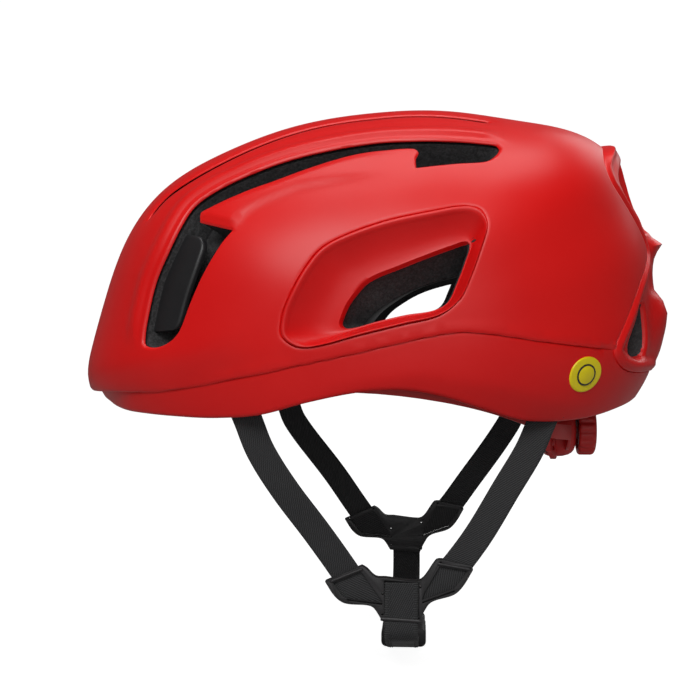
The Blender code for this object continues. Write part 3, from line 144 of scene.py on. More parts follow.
LOWER_PORT = [(-48, 11), (-49.5, 14), (-52.5, 13.5), (-58, 6.5), (-65.5, -4), (-66, -9), (-61.5, -12.4),
              (-55, -12.8), (-50.5, -11), (-48, -6)]
PORT_INNER_SHARE = 0.86
REAR_HEIGHTS = [-16, -10, -4, 2, 8, 14, 20, 26, 32, 36.5, 38, 40, 44, 50, 60, 67, 74, 80, 85, 90]
REAR_RISES = [0, 1.5, 2.8, 4.4, 5.6, 4.0, 0, 0, 1.5, 4.5, 8.2, 9.6, 5.6, 2.3, 0.6, 0.6, 1.2, 2.4, 3.6, 1.8]
LINER_WINDOW = [(2, 2.5), (5, 8), (11, 13), (22, 19.5), (35, 24), (47.5, 26), (50.5, 22), (48, 12),
                (40, 4), (28, 0.5), (12, -0.8)]
SIDE_PAD = [(-54, -3), (-56, 6), (-52, 15), (-42, 19), (-28, 18.5), (-16, 15), (-11, 8), (-13, -1),
            (-20, -4), (-40, -4.5)]
DIVIDER_OUTLINE = [
    (-34.5, 8.5), (-18, 15.7), (-15.8, 14.5), (-11.8, 10.8), (-7.3, 10.5), (7, 9), (9.9, 10.6),
    (15.6, 18.6), (18, 18.9), (31.7, 16.2), (32, 14.5), (24.7, 4), (13.3, -0.3), (9.9, -4.9),
    (7.6, -9.9), (-9, -8.5), (-12.6, -3.1), (-15.3, -2), (-25.6, -1.2), (-30.2, 2),
]
# x and height of soft creases pressed into the skins
FINGER_CREASE = [(-90, 30), (-60, 45), (-54.5, 53.5), (-46, 58), (-31.6, 63.8), (-12.6, 67.2), (5, 68.5),
                 (40, 69)]
TURN_UNDER = [(-145, -26), (-120, -18), (-111, -15), (-78, -9), (-58, -1), (-40, 4)]
LOWER_CREASE = [(-30, -26), (-11, -23.6), (23, -18.5), (62, -24), (100.5, -36), (130, -40)]


# ---------------------------------------------------------------- numbers and curves


def unit(v):
    v = np.asarray(v, float)
    return v / np.linalg.norm(v, axis=-1, keepdims=True)


def step(value):
    """Smooth step from 0 to 1."""
    t = np.clip(value, 0, 1)
    return t * t * (3 - 2 * t)


def bump(value, low, high):
    """A smooth hump between two limits, 1 at its middle."""
    t = np.clip((value - low) / (high - low), 0, 1)
    return np.sin(math.pi * t) ** 2


def fillet(distance, radius):
    """How far a rounded edge lies below its face, at a distance from the edge."""
    inside = np.clip(radius - distance, 0, radius)
    return radius - np.sqrt(radius**2 - inside**2)


def along_table(table, at):
    table = np.asarray(table, float)
    return np.interp(at, table[:, 0], table[:, 1])


def polar_spline(points):
    """A closed cubic spline of radius against angle through the points."""
    angle = np.arctan2(points[:, 1], points[:, 0])
    order = np.argsort(angle)
    angle = angle[order]
    radius = np.hypot(points[:, 0], points[:, 1])[order]
    n = len(angle)
    span = np.diff(np.append(angle, angle[0] + 2 * math.pi))
    matrix = np.zeros((n, n))
    right = np.zeros(n)
    for i in range(n):
        before, after = (i - 1) % n, (i + 1) % n
        matrix[i, before] += span[before]
        matrix[i, i] += 2 * (span[before] + span[i])
        matrix[i, after] += span[i]
        right[i] = 6 * ((radius[after] - radius[i]) / span[i] - (radius[i] - radius[before]) / span[before])
    bend = np.linalg.solve(matrix, right)

    def value(at):
        at = (at - angle[0]) % (2 * math.pi) + angle[0]
        i = np.clip(np.searchsorted(angle, at, side="right") - 1, 0, n - 1)
        j = (i + 1) % n
        h = span[i]
        u = at - angle[i]
        v = h - u
        cubic = (bend[i] * v**3 + bend[j] * u**3) / (6 * h)
        return cubic + (radius[i] / h - bend[i] * h / 6) * v + (radius[j] / h - bend[j] * h / 6) * u

    return value


PROFILE = polar_spline(np.array(SIDE_PROFILE, float))


def shell_radius(d):
    """Distance from the origin to the shell's base surface along unit directions."""
    flat = np.hypot(d[:, 0], d[:, 2])
    angle = np.arctan2(d[:, 2], d[:, 0])
    power = 2.25 + 0.25 * np.maximum(np.cos(angle), 0) - 0.1 * np.sin(angle)
    return ((flat / PROFILE(angle)) ** power + (np.abs(d[:, 1]) / (SHELL_WIDTH / 2)) ** power) ** (-1 / power)


def head_radius(d):
    """Distance from the origin to the foam's inner wall: a dome over upright walls."""
    power = 2.3
    total = (2 * np.abs(d[:, 0]) / HEAD_LENGTH) ** power + (2 * np.abs(d[:, 1]) / HEAD_WIDTH) ** power
    return (total + (np.maximum(d[:, 2], 0) / HEAD_HEIGHT) ** power) ** (-1 / power)


def onto(radius, points, axis, sign):
    """The points moved along one axis until they lie on that surface."""
    points = np.array(points, float)
    low = np.zeros(len(points))
    high = np.full(len(points), 290.0)
    for _ in range(40):
        middle = (low + high) / 2
        points[:, axis] = sign * middle
        size = np.linalg.norm(points, axis=1)
        inside = size < radius(points / size[:, None])
        low = np.where(inside, middle, low)
        high = np.where(inside, high, middle)
    return points


def from_side(pairs, side, radius=shell_radius):
    """Unit directions of (x, z) outline points seen from one side."""
    return unit(onto(radius, np.insert(np.asarray(pairs, float), 1, 0.0, axis=1), 1, side))


def from_above(pairs, side, radius=shell_radius):
    return unit(onto(radius, np.insert(np.asarray(pairs, float) * (1, side), 2, 0.0, axis=1), 2, 1))


def from_behind(pairs, side, radius=shell_radius):
    return unit(onto(radius, np.insert(np.asarray(pairs, float) * (-side, 1), 0, 0.0, axis=1), 0, 1))


def step_counts(points, spacing):
    points = np.asarray(points, float)
    length = np.linalg.norm(np.roll(points, -1, axis=0) - points, axis=1)
    return np.maximum(1, np.round(length / spacing)).astype(int)


def smooth_curve(points, counts, corners=(), closed=True):
    """A curve through the points, each span in its count of steps, sharp at the corners."""
    points = np.asarray(points, float)
    n = len(points)
    ahead = np.roll(points, -1, axis=0) - points
    size = np.linalg.norm(ahead, axis=1, keepdims=True)
    course = (ahead + np.roll(ahead, 1, axis=0)) / (size + np.roll(size, 1, axis=0))
    leaving, arriving = course.copy(), course.copy()
    for i in list(corners) + ([] if closed else [0, n - 1]):
        leaving[i] = ahead[i] / size[i]
        arriving[i] = ahead[i - 1] / size[i - 1]
    result = []
    for i in range(n if closed else n - 1):
        j = (i + 1) % n
        t = np.arange(counts[i])[:, None] / counts[i]
        first, second = leaving[i] * size[i], arriving[j] * size[i]
        result.append(
            (2 * t**3 - 3 * t**2 + 1) * points[i] + (t**3 - 2 * t**2 + t) * first
            + (3 * t**2 - 2 * t**3) * points[j] + (t**3 - t**2) * second
        )
    if not closed:
        result.append(points[-1:])
    return np.concatenate(result)


def even_curve(points, spacing, closed=False, corners=()):
    """A smooth curve through the points, resampled at an even spacing."""
    fine = smooth_curve(points, step_counts(points, spacing / 4), corners, closed)
    if closed:
        fine = np.concatenate([fine, fine[:1]])
    at = np.append(0, np.cumsum(np.linalg.norm(np.diff(fine, axis=0), axis=1)))
    count = max(2, round(at[-1] / spacing))
    wanted = np.linspace(0, at[-1], count + 1)
    even = np.stack([np.interp(wanted, at, fine[:, k]) for k in range(fine.shape[1])], 1)
    return even[:-1] if closed else even


def oval(x0, x1, y0, y1, count=48, power=2.6):
    """A rounded oblong outline between two limits each way."""
    turn = 2 * math.pi * np.arange(count) / count
    u = np.sign(np.cos(turn)) * np.abs(np.cos(turn)) ** (2 / power)
    v = np.sign(np.sin(turn)) * np.abs(np.sin(turn)) ** (2 / power)
    return np.stack([(x0 + x1) / 2 + u * (x1 - x0) / 2, (y0 + y1) / 2 + v * (y1 - y0) / 2], 1)


def ring_about(direction, radius, across, along, count=24, power=2.6):
    """A rounded oblong loop on a surface about a direction: across is level, along is upwards."""
    centre = direction * radius(direction[None])[0]
    east = unit(np.cross((0, 0, 1), direction))
    north = np.cross(direction, east)
    turn = 2 * math.pi * np.arange(count) / count
    u = np.sign(np.cos(turn)) * np.abs(np.cos(turn)) ** (2 / power) * across
    v = np.sign(np.sin(turn)) * np.abs(np.sin(turn)) ** (2 / power) * along
    return unit(centre + u[:, None] * east + v[:, None] * north)


# ---------------------------------------------------------------- finishes


class Field:
    """A socket of a finish. Arithmetic on it adds Math nodes."""

    def __init__(self, finish, socket):
        self.finish = finish
        self.socket = socket

    def math(self, operation, *others):
        return self.finish.node("ShaderNodeMath", {"operation": operation}, [*others])

    def __add__(self, other):
        return self.math("ADD", self, other)

    def __radd__(self, other):
        return self.math("ADD", other, self)

    def __sub__(self, other):
        return self.math("SUBTRACT", self, other)

    def __rsub__(self, other):
        return self.math("SUBTRACT", other, self)

    def __mul__(self, other):
        return self.math("MULTIPLY", self, other)

    def __rmul__(self, other):
        return self.math("MULTIPLY", other, self)

    def sine(self):
        return self.math("SINE", self)

    def size(self):
        return self.math("ABSOLUTE", self)

    def between(self, low, high):
        """0 below low, 1 above high and smooth between."""
        values = {"Value": self, "From Min": low, "From Max": high}
        settings = {"interpolation_type": "SMOOTHSTEP"}
        return self.finish.node("ShaderNodeMapRange", settings, values)


class Finish:
    """A procedural material: a Principled shader and the nodes that feed it."""

    def __init__(self, name, colour, roughness, **uniform):
        self.material = bpy.data.materials.new(name)
        self.material.use_nodes = True
        self.tree = self.material.node_tree
        self.shader = self.tree.nodes["Principled BSDF"]
        self.shader.inputs["Base Color"].default_value = (*colour, 1)
        self.shader.inputs["Roughness"].default_value = roughness
        for key, value in uniform.items():
            self.shader.inputs[key.replace("_", " ").title().replace("Ior", "IOR")].default_value = value
        self.material.diffuse_color = (*colour, 1)

    def node(self, kind, settings=None, values=(), out=0):
        """A node with its settings first, then its sockets' values or links. Returns one output."""
        made = self.tree.nodes.new(kind)
        for key, value in (settings or {}).items():
            setattr(made, key, value)
        pairs = values.items() if isinstance(values, dict) else enumerate(values)
        for key, value in pairs:
            self.give(made.inputs[key], value)
        return Field(self, made.outputs[out])

    def give(self, socket, value):
        if isinstance(value, Field):
            self.tree.links.new(value.socket, socket)
        elif socket.type == "RGBA" and len(value) == 3:
            socket.default_value = (*value, 1)
        else:
            socket.default_value = value

    def feed(self, name, value):
        self.give(self.shader.inputs[name], value)

    def place(self, scale=(1, 1, 1), turn=(0, 0, 0)):
        """The piece's own coordinates in metres, scaled and turned."""
        at = self.node("ShaderNodeTexCoord", out="Object")
        return self.node("ShaderNodeMapping", {"vector_type": "POINT"},
                         {"Vector": at, "Scale": scale, "Rotation": turn})

    def noise(self, at, scale, detail=2.0, roughness=0.5):
        values = {"Vector": at, "Scale": scale, "Detail": detail, "Roughness": roughness}
        return self.node("ShaderNodeTexNoise", None, values, "Fac")

    def cells(self, at, scale, out="Distance", feature="F1"):
        return self.node("ShaderNodeTexVoronoi", {"feature": feature}, {"Vector": at, "Scale": scale}, out)

    def mix(self, factor, first, second):
        """A colour between two, by a factor."""
        made = self.tree.nodes.new("ShaderNodeMix")
        made.data_type = "RGBA"
        for index, value in ((0, factor), (6, first), (7, second)):
            self.give(made.inputs[index], value)
        return Field(self, made.outputs[2])

    def relief(self, height, strength, distance):
        """Feeds the normal from a height field."""
        self.feed("Normal", self.node("ShaderNodeBump", None, {
            "Height": height, "Strength": strength, "Distance": distance}))


def paint(name, bright, deep, roughness, grain=0.05):
    """Satin coloured skin: faint cloudiness, orange peel, and a painted highlight that lightens sharp edges,
    which are also a little less rough.
    """
    finish = Finish(name, bright, roughness, coat_roughness=0.32, specular_ior_level=0.36)
    at = finish.place()
    cloud = finish.noise(at, 14, 3)
    # Painted highlight: sharp convex edges, found by pointiness, are mixed towards a lighter red.
    sharp_edges = finish.node("ShaderNodeNewGeometry", out="Pointiness").between(0.515, 0.56)
    base = finish.mix(cloud.between(0.35, 0.7), deep, bright)
    # The lighter red of the painted edge highlight.
    edge = tuple(min(1.0, c * 1.12 + 0.012) for c in bright)
    finish.feed("Base Color", finish.mix(sharp_edges * 0.5, base, edge))
    finish.feed("Roughness", roughness - 0.03 + finish.noise(at, 60, 2) * 0.07 - sharp_edges * 0.05)
    finish.feed("Coat Weight", 0.03 + cloud * 0.05)
    peel = finish.noise(at, 420, 2) * 0.6 + finish.noise(at, 2600, 1) * 0.4
    finish.relief(peel, grain, 0.0004)
    return finish.material


def bead_foam(name, dark, light):
    """Moulded bead foam: pressed cells with pale mottling between them."""
    finish = Finish(name, dark, 0.82)
    at = finish.place()
    bent = finish.node("ShaderNodeVectorMath", {"operation": "ADD"}, [
        at, finish.node("ShaderNodeVectorMath", {"operation": "SCALE"}, {
            0: finish.node("ShaderNodeTexNoise", None, {"Vector": at, "Scale": 300.0}, "Color"), 3: 0.0009})])
    cell = finish.cells(bent, 620)
    seam = finish.cells(bent, 620, "Distance", "DISTANCE_TO_EDGE")
    tint = finish.node("ShaderNodeSeparateColor", None, [finish.cells(bent, 620, "Color")])
    fleck = finish.noise(at, 1100, 4, 0.7).between(0.4, 0.62)
    shade = fleck * 0.65 + tint * 0.35
    colour = finish.mix(shade, dark, light)
    finish.feed("Base Color", finish.mix(seam.between(0.0, 0.05) * 0.5 + 0.5, dark, colour))
    finish.feed("Roughness", 0.72 + fleck * 0.18)
    dome = 1 - cell.between(0.0, 0.6)
    finish.relief(dome * 0.4 + seam.between(0.0, 0.12) * 0.25 + finish.noise(at, 1900, 2) * 0.3, 0.4, 0.0004)
    return finish.material


def webbing_weave(name, dark, light):
    """Twill webbing: slanted yarns with a cross rib. The first UV is across and the second along, in mm."""
    finish = Finish(name, dark, 0.7, sheen_weight=0.25, sheen_roughness=0.4)
    where = finish.node("ShaderNodeUVMap", {"uv_map": "weave"})
    parts = finish.tree.nodes.new("ShaderNodeSeparateXYZ")
    finish.give(parts.inputs[0], where)
    across, along = Field(finish, parts.outputs[0]), Field(finish, parts.outputs[1])
    slant = (across * 2.9 + along * 1.5) * (2 * math.pi / 2.9)
    yarn = slant.sine() * 0.5 + 0.5
    cross = (along * (2 * math.pi / 0.9) + across * 2.0).sine() * 0.5 + 0.5
    at = finish.place()
    patch = finish.noise(at, 55, 3)
    fuzz = finish.noise(at, 3000, 2)
    edge = across.size().between(STRAP_WIDTH / 2 - 1.3, STRAP_WIDTH / 2 - 0.7)
    weave = yarn * 0.75 + cross * 0.25
    height = weave * (1 - edge) + edge * ((along * (2 * math.pi / 0.8)).sine() * 0.5 + 0.5)
    shade = height * 0.6 + patch * 0.3 + fuzz * 0.2
    finish.feed("Base Color", finish.mix(shade.between(0.15, 1.0), dark, light))
    finish.feed("Roughness", 0.6 + patch * 0.22)
    finish.relief(height + fuzz * 0.25, 0.6, 0.0003)
    return finish.material


def moulded(name, colour, light, roughness, grain_scale=2200.0, strength=0.25):
    """Moulded plastic with a fine grain, slightly paler on sharp edges."""
    finish = Finish(name, colour, roughness)
    at = finish.place()
    sharp_edges = finish.node("ShaderNodeNewGeometry", out="Pointiness").between(0.52, 0.6)
    cloud = finish.noise(at, 80, 3)
    grain = finish.cells(at, grain_scale) * 0.5 + finish.noise(at, grain_scale * 0.6, 2) * 0.5
    finish.feed("Base Color", finish.mix(sharp_edges * 0.6 + cloud * 0.25, colour, light))
    finish.feed("Roughness", roughness - 0.05 + cloud * 0.12 - sharp_edges * 0.08)
    finish.relief(grain, strength, 0.0002)
    return finish.material


def knitted(name, dark, light):
    """Knitted pad cover: rows of small loops over a soft pile."""
    finish = Finish(name, dark, 0.9, sheen_weight=0.4, sheen_roughness=0.5)
    at = finish.place((1, 1, 1), (0.3, 0.2, 0.6))
    loops = finish.cells(at, 900)
    pile = finish.noise(at, 2400, 3)
    cloud = finish.noise(at, 90, 2)
    finish.feed("Base Color", finish.mix(loops * 0.8 + cloud * 0.3, light, dark))
    finish.feed("Roughness", 0.82 + pile * 0.12)
    finish.relief((1 - loops) * 0.8 + pile * 0.3, 0.5, 0.0005)
    return finish.material


def brushed(name, colour):
    """Metal with fine lines along X."""
    finish = Finish(name, colour, 0.3, metallic=1.0)
    lines = finish.noise(finish.place((400, 4000, 4000)), 1.0, 3)
    spots = finish.noise(finish.place(), 700, 2)
    finish.feed("Base Color", finish.mix(spots.between(0.4, 0.8), colour, tuple(c * 0.7 for c in colour)))
    finish.feed("Roughness", 0.22 + lines * 0.2)
    finish.relief(lines, 0.15, 0.0001)
    return finish.material


def printed(name, ground, mark):
    """Printed film: flat colour with faint clouding, a fine grain and faint scuffs."""
    finish = Finish(name, ground, 0.35, coat_roughness=0.2)
    at = finish.place()
    cloud = finish.noise(at, 150, 3)
    finish.feed("Base Color", finish.mix(cloud.between(0.3, 0.8) * 0.35, ground, mark))
    finish.feed("Roughness", 0.3 + finish.noise(at, 500, 3) * 0.14)
    finish.feed("Coat Weight", 0.15 + cloud * 0.15)
    finish.relief(finish.noise(at, 1500, 2), 0.05, 0.0002)
    return finish.material


# ---------------------------------------------------------------- pieces


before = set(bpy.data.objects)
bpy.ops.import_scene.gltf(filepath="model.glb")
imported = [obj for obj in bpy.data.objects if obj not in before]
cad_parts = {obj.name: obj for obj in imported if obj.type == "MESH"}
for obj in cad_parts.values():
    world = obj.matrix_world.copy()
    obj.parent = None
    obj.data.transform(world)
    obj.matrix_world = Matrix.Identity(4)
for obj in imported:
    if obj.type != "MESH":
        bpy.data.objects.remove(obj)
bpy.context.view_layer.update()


def add_mesh(name, points, faces, finish, smooth=40.0, uv=None):
    """A mesh object at the origin from points in thousandths of a metre."""
    mesh = bpy.data.meshes.new(name)
    mesh.from_pydata((np.asarray(points, float) * MM).tolist(), [], [tuple(int(i) for i in f) for f in faces])
    mesh.update()
    mesh.polygons.foreach_set("use_smooth", [True] * len(mesh.polygons))
    mesh.set_sharp_from_angle(angle=math.radians(smooth))
    if uv is not None:
        corner = np.zeros(len(mesh.loops), np.int64)
        mesh.loops.foreach_get("vertex_index", corner)
        layer = mesh.uv_layers.new(name="weave")
        layer.data.foreach_set("uv", np.asarray(uv, np.float32)[corner].ravel())
    mesh.materials.append(finish)
    obj = bpy.data.objects.new(name, mesh)
    bpy.context.scene.collection.objects.link(obj)
    return obj


def settle(obj, body, nodes=()):
    """Rides a finished piece on its body, in place of the frame nodes that it stands for."""
    if body:
        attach(obj, body)
    if nodes:
        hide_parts(*nodes)
    return obj


def made_plain(obj, name):
    """The object with its modifiers applied, as a plain mesh of its own."""
    graph = bpy.context.evaluated_depsgraph_get()
    mesh = bpy.data.meshes.new_from_object(obj.evaluated_get(graph))
    bpy.data.objects.remove(obj, do_unlink=True)
    mesh.name = name
    plain = bpy.data.objects.new(name, mesh)
    bpy.context.scene.collection.objects.link(plain)
    return plain


def cut_with(obj, cutters):
    """The object less each cutter, as a plain mesh."""
    name = obj.name
    for cutter in cutters:
        modifier = obj.modifiers.new("cut", "BOOLEAN")
        modifier.operation = "DIFFERENCE"
        modifier.solver = "EXACT"
        modifier.object = cutter
    made = made_plain(obj, name + " cut")
    for cutter in cutters:
        bpy.data.objects.remove(cutter, do_unlink=True)
    made.name = name
    return made


def rounded(obj, width, segments=3, angle=30.0):
    """Rounds the sharp edges of a plain object, and shades it smooth."""
    name = obj.name
    weld = bmesh.new()
    weld.from_mesh(obj.data)
    bmesh.ops.remove_doubles(weld, verts=weld.verts, dist=2e-5)
    bmesh.ops.dissolve_limit(weld, angle_limit=math.radians(1.5), verts=weld.verts, edges=weld.edges)
    weld.to_mesh(obj.data)
    weld.free()
    bevel = obj.modifiers.new("round", "BEVEL")
    bevel.width = width * MM
    bevel.segments = segments
    bevel.limit_method = "ANGLE"
    bevel.angle_limit = math.radians(angle)
    bevel.use_clamp_overlap = True
    bevel.miter_outer = "MITER_ARC"
    made = made_plain(obj, name + " round")
    made.name = name
    made.data.polygons.foreach_set("use_smooth", [True] * len(made.data.polygons))
    made.data.set_sharp_from_angle(angle=math.radians(35))
    return made


def frame_copy(node, name, finish):
    """A copy of a frame node under a new name and in a new finish."""
    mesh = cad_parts[node].data.copy()
    mesh.materials.clear()
    mesh.materials.append(finish)
    obj = bpy.data.objects.new(name, mesh)
    bpy.context.scene.collection.objects.link(obj)
    return obj


def from_frame(node, width, body, finish, segments=3):
    """A frame node's own shape with rounded edges, standing in its place."""
    obj = rounded(frame_copy(node, node + "_trim", finish), width, segments)
    return settle(obj, body, [node])


def ring_faces(count, n, closed=False):
    """Quads between rings of n points each, and from the last ring on to the first where closed."""
    faces = []
    for r in range(count if closed else count - 1):
        low, high = r * n, (r + 1) % count * n
        faces += [(low + i, low + (i + 1) % n, high + (i + 1) % n, high + i) for i in range(n)]
    return faces


def sheet_faces(rows, columns):
    """Quads of two equal grids of points, one behind the other, and of the border between them."""
    size = rows * columns
    faces = []
    for i in range(rows - 1):
        for k in range(columns - 1):
            a = i * columns + k
            faces.append((a, a + columns, a + columns + 1, a + 1))
            faces.append((a + size, a + size + 1, a + size + columns + 1, a + size + columns))
    border = [i * columns for i in range(rows)] + [(rows - 1) * columns + k for k in range(1, columns)]
    border += [i * columns + columns - 1 for i in range(rows - 2, -1, -1)] + list(range(columns - 2, 0, -1))
    return faces + [(a, b, b + size, a + size) for a, b in zip(border, border[1:] + border[:1])]


def lathe(name, origin, axis, profile, finish, segments=96, shape=None, smooth=35.0):
    """A closed solid of revolution from (distance, radius) pairs. Shape scales a ring's radii."""
    axis = unit(axis)
    side = unit(np.cross(axis, (0, 0, 1) if abs(axis[2]) < 0.9 else (1, 0, 0)))
    up = np.cross(axis, side)
    turn = 2 * math.pi * np.arange(segments) / segments
    circle = np.cos(turn)[:, None] * side + np.sin(turn)[:, None] * up
    rings = []
    for i, (along, radius) in enumerate(profile):
        scale = np.ones(segments) if shape is None else shape(i, turn)
        rings.append(np.asarray(origin) + along * axis + circle * (radius * scale)[:, None])
    points = np.concatenate(rings)
    last = (len(rings) - 1) * segments
    faces = [tuple(range(segments))[::-1], *ring_faces(len(rings), segments),
             tuple(last + i for i in range(segments))]
    return add_mesh(name, points, faces, finish, smooth)


def plate(name, outline, axis, low, high, finish):
    """An outline of the other two axes in X, Y, Z order, drawn out along one axis."""
    outline = np.asarray(outline, float)
    n = len(outline)
    points = np.concatenate([np.insert(outline, axis, low, axis=1), np.insert(outline, axis, high, axis=1)])
    ahead = np.roll(outline, -1, axis=0)
    turns_left = (outline[:, 0] * ahead[:, 1] - outline[:, 1] * ahead[:, 0]).sum() > 0
    cap = tuple(range(n))
    faces = [cap[::-1], tuple(i + n for i in cap)]
    faces += [(i, (i + 1) % n, (i + 1) % n + n, i + n) for i in range(n)]
    if turns_left == (axis == 1):
        faces = [f[::-1] for f in faces]
    return add_mesh(name, points, faces, finish)


# ---------------------------------------------------------------- triangulated domes


def flatten(d):
    """Unit directions to the plane, seen from straight below the head."""
    return d[:, :2] / (1 + d[:, 2:3])


def unflatten(flat):
    square = (flat**2).sum(axis=1, keepdims=True)
    return np.hstack([2 * flat, 1 - square]) / (1 + square)


def within(flat, loop):
    """Which flat points lie inside a closed flat loop."""
    low, high = loop.min(axis=0), loop.max(axis=0)
    near = np.flatnonzero(((flat >= low) & (flat <= high)).all(axis=1))
    x, y = flat[near].T
    inside = np.zeros(len(near), bool)
    for (x0, y0), (x1, y1) in zip(np.roll(loop, 1, axis=0), loop):
        if y0 == y1:
            continue
        crossing = (y < y0) != (y < y1)
        inside ^= crossing & (x < (x1 - x0) * (y - y0) / (y1 - y0) + x0)
    found = np.zeros(len(flat), bool)
    found[near] = inside
    return found


def nearest(points, targets):
    """Distance from each point to the closest target."""
    tree = KDTree(len(targets))
    for i, target in enumerate(targets):
        tree.insert(target, i)
    tree.balance()
    return np.array([tree.find(p)[2] for p in points])


def fill_directions(spacing):
    """Rings of directions about the crown, evenly spaced on a dome of the shell's size."""
    rings = []
    for i, tilt in enumerate(np.arange(0, 2.1, 0.87 * spacing / DOME_SIZE)):
        count = max(1, round(2 * math.pi * math.sin(tilt) * DOME_SIZE / spacing))
        turn = 2 * math.pi * (np.arange(count) + 0.5 * (i % 2)) / count
        level = math.sin(tilt)
        height = np.full(count, math.cos(tilt))
        rings.append(np.stack([level * np.cos(turn), level * np.sin(turn), height], 1))
    return np.concatenate(rings)


class Dome:
    """A triangulation of directions inside the first loop, with every loop and line kept as edges."""

    def __init__(self, loops, lines=(), rows=None, spacing=FILL_STEP, clear=0.6):
        fixed = np.concatenate([*loops, *lines])
        edges, start, self.loops = [], 0, []
        for loop in loops:
            self.loops.append(flatten(loop))
            edges += [(start + i, start + (i + 1) % len(loop)) for i in range(len(loop))]
            start += len(loop)
        for line in lines:
            edges += [(start + i, start + i + 1) for i in range(len(line) - 1)]
            start += len(line)
        taken = fixed
        if rows is not None:
            rows = rows[within(flatten(rows), self.loops[0])]
            taken = np.concatenate([fixed, rows])
        fill = fill_directions(spacing)
        fill = fill[within(flatten(fill), self.loops[0])]
        fill = fill[nearest(fill, taken) * DOME_SIZE > clear * spacing]
        flat = flatten(np.concatenate([taken, fill]))
        made, _, faces, sources, _, _ = delaunay_2d_cdt([Vector(p) for p in flat], edges, [], 0, 1e-7, True)
        flat = np.array([tuple(p) for p in made])
        faces = np.array([tuple(f) for f in faces])
        middle = flat[faces].mean(axis=1)
        self.faces = faces[within(middle, self.loops[0])]
        self.middle = flat[self.faces].mean(axis=1)
        self.points = unflatten(flat)
        place = {source: i for i, group in enumerate(sources) for source in group}
        start, self.loop_points = 0, []
        for loop in loops:
            self.loop_points.append([place[start + i] for i in range(len(loop))])
            start += len(loop)

    def inside(self, loop):
        return within(self.middle, self.loops[loop])


def open_edges(faces):
    """Directed edges that only one triangle uses, with the dome on their left."""
    edges = [(int(f[i]), int(f[(i + 1) % 3])) for f in faces for i in range(3)]
    known = set(edges)
    return [e for e in edges if (e[1], e[0]) not in known]


def inset_directions(points, edges, radius, distance):
    """Directions with the open edge moved into the piece by each point's distance."""
    places = points * radius(points)[:, None]
    inward = np.zeros_like(points)
    for a, b in edges:
        across = unit(np.cross(points[a], places[b] - places[a]))
        inward[a] += across
        inward[b] += across
    rim = np.linalg.norm(inward, axis=1) > 1e-9
    places[rim] += distance[rim, None] * unit(inward[rim])
    return unit(places)


def slab(name, dome, faces, top, bottom, finish, radius=shell_radius, inset=0.2):
    """A closed skin between two offsets from a surface, over some of a dome's triangles."""
    used, index = np.unique(faces, return_inverse=True)
    faces = index.reshape(faces.shape)
    edges = open_edges(faces)
    inset = np.broadcast_to(np.asarray(inset, float), len(dome.points))[used]
    points = inset_directions(dome.points[used], edges, radius, inset)
    base = radius(points)
    high = points * (base + np.broadcast_to(top, len(dome.points))[used])[:, None]
    low = points * (base + np.broadcast_to(bottom, len(dome.points))[used])[:, None]
    n = len(points)
    sides = [(a, a + n, b + n, b) for a, b in edges]
    solid = [tuple(f) for f in faces] + [tuple(f[::-1] + n) for f in faces] + sides
    return add_mesh(name, np.concatenate([high, low]), solid, finish)


def offset_rows(loop, distances, spacing, closed=True):
    """Rows of directions beside a loop or line on the shell, on both sides where distances are signed."""
    places = loop * shell_radius(loop)[:, None]
    if closed:
        course = unit(np.roll(places, -1, axis=0) - np.roll(places, 1, axis=0))
    else:
        course = unit(np.gradient(places, axis=0))
    across = unit(np.cross(loop, course))
    found = []
    for distance in distances:
        row = places + distance * across
        clear = nearest(row, places) > 0.9 * min(abs(distance), math.hypot(distance, spacing / 2))
        found.append(unit(row[clear]))
    return np.concatenate(found)


def thinned(points, least):
    """The points in order, less each one that lies too near an earlier one."""
    kept, cells = [], {}
    for i, p in enumerate(points):
        cell = tuple(int(math.floor(c / least)) for c in p)
        near = (cells.get((cell[0] + a, cell[1] + b, cell[2] + c)) for a in (-1, 0, 1) for b in (-1, 0, 1)
                for c in (-1, 0, 1))
        if any(q is not None and abs(q - p).max() < least and np.linalg.norm(q - p) < least for q in near):
            continue
        cells[cell] = p
        kept.append(i)
    return np.array(kept)


# ---------------------------------------------------------------- shells


def half_loop(half):
    """A closed loop from its half, mirrored across the middle."""
    half = np.asarray(half, float)
    return np.concatenate([half, half[-2:0:-1] * (-1, 1)])


def brim_line(spacing):
    """Directions along the brim all the way round, and their places."""
    half = np.array(BRIM, float)
    turn = np.concatenate([half[:, 0], 360 - half[-2:0:-1, 0]])
    height = np.concatenate([half[:, 1], half[-2:0:-1, 1]])
    bend = smooth_curve(np.stack([np.append(turn, 360), np.append(height, height[0])], 1),
                        np.full(len(turn) + 1, 8), closed=False)
    fine = np.arange(0, 360, 360 / round(2 * math.pi * 122 / spacing))
    level = np.interp(fine, bend[:, 0], bend[:, 1])
    along = np.radians(180 + fine)
    sideways = np.stack([np.cos(along), np.sin(along), np.zeros(len(along))], 1)
    spread = shell_radius(sideways)
    for _ in range(30):
        guess = sideways * spread[:, None]
        guess[:, 2] = level
        size = np.linalg.norm(guess, axis=1)
        spread *= shell_radius(guess / size[:, None]) / size
    guess = sideways * spread[:, None]
    guess[:, 2] = level
    return unit(guess), guess


def thin_slot_outline(spacing):
    """(x, y) of the slim slot by the crown, as a closed loop with round ends."""
    middle = even_curve(THIN_SLOT, spacing)
    course = unit(np.gradient(middle, axis=0))
    across = np.stack([-course[:, 1], course[:, 0]], 1) * SLOT_WIDTH / 2
    reach = np.minimum(np.arange(len(middle)), np.arange(len(middle))[::-1])[:, None]
    taper = np.sqrt(np.clip((reach + 0.3) * spacing / SLOT_WIDTH * 1.4, 0, 1))
    return np.concatenate([middle + across * taper, (middle - across * taper)[::-1]])


def vent_curves(spacing):
    """A side vent's outer edge, its opening and its inner end, as curves of matching points."""
    vent = np.array(SIDE_VENT, float)
    counts = step_counts(vent[:, :2], spacing)
    return [smooth_curve(vent[:, k : k + 2], counts) for k in (0, 2, 4)]


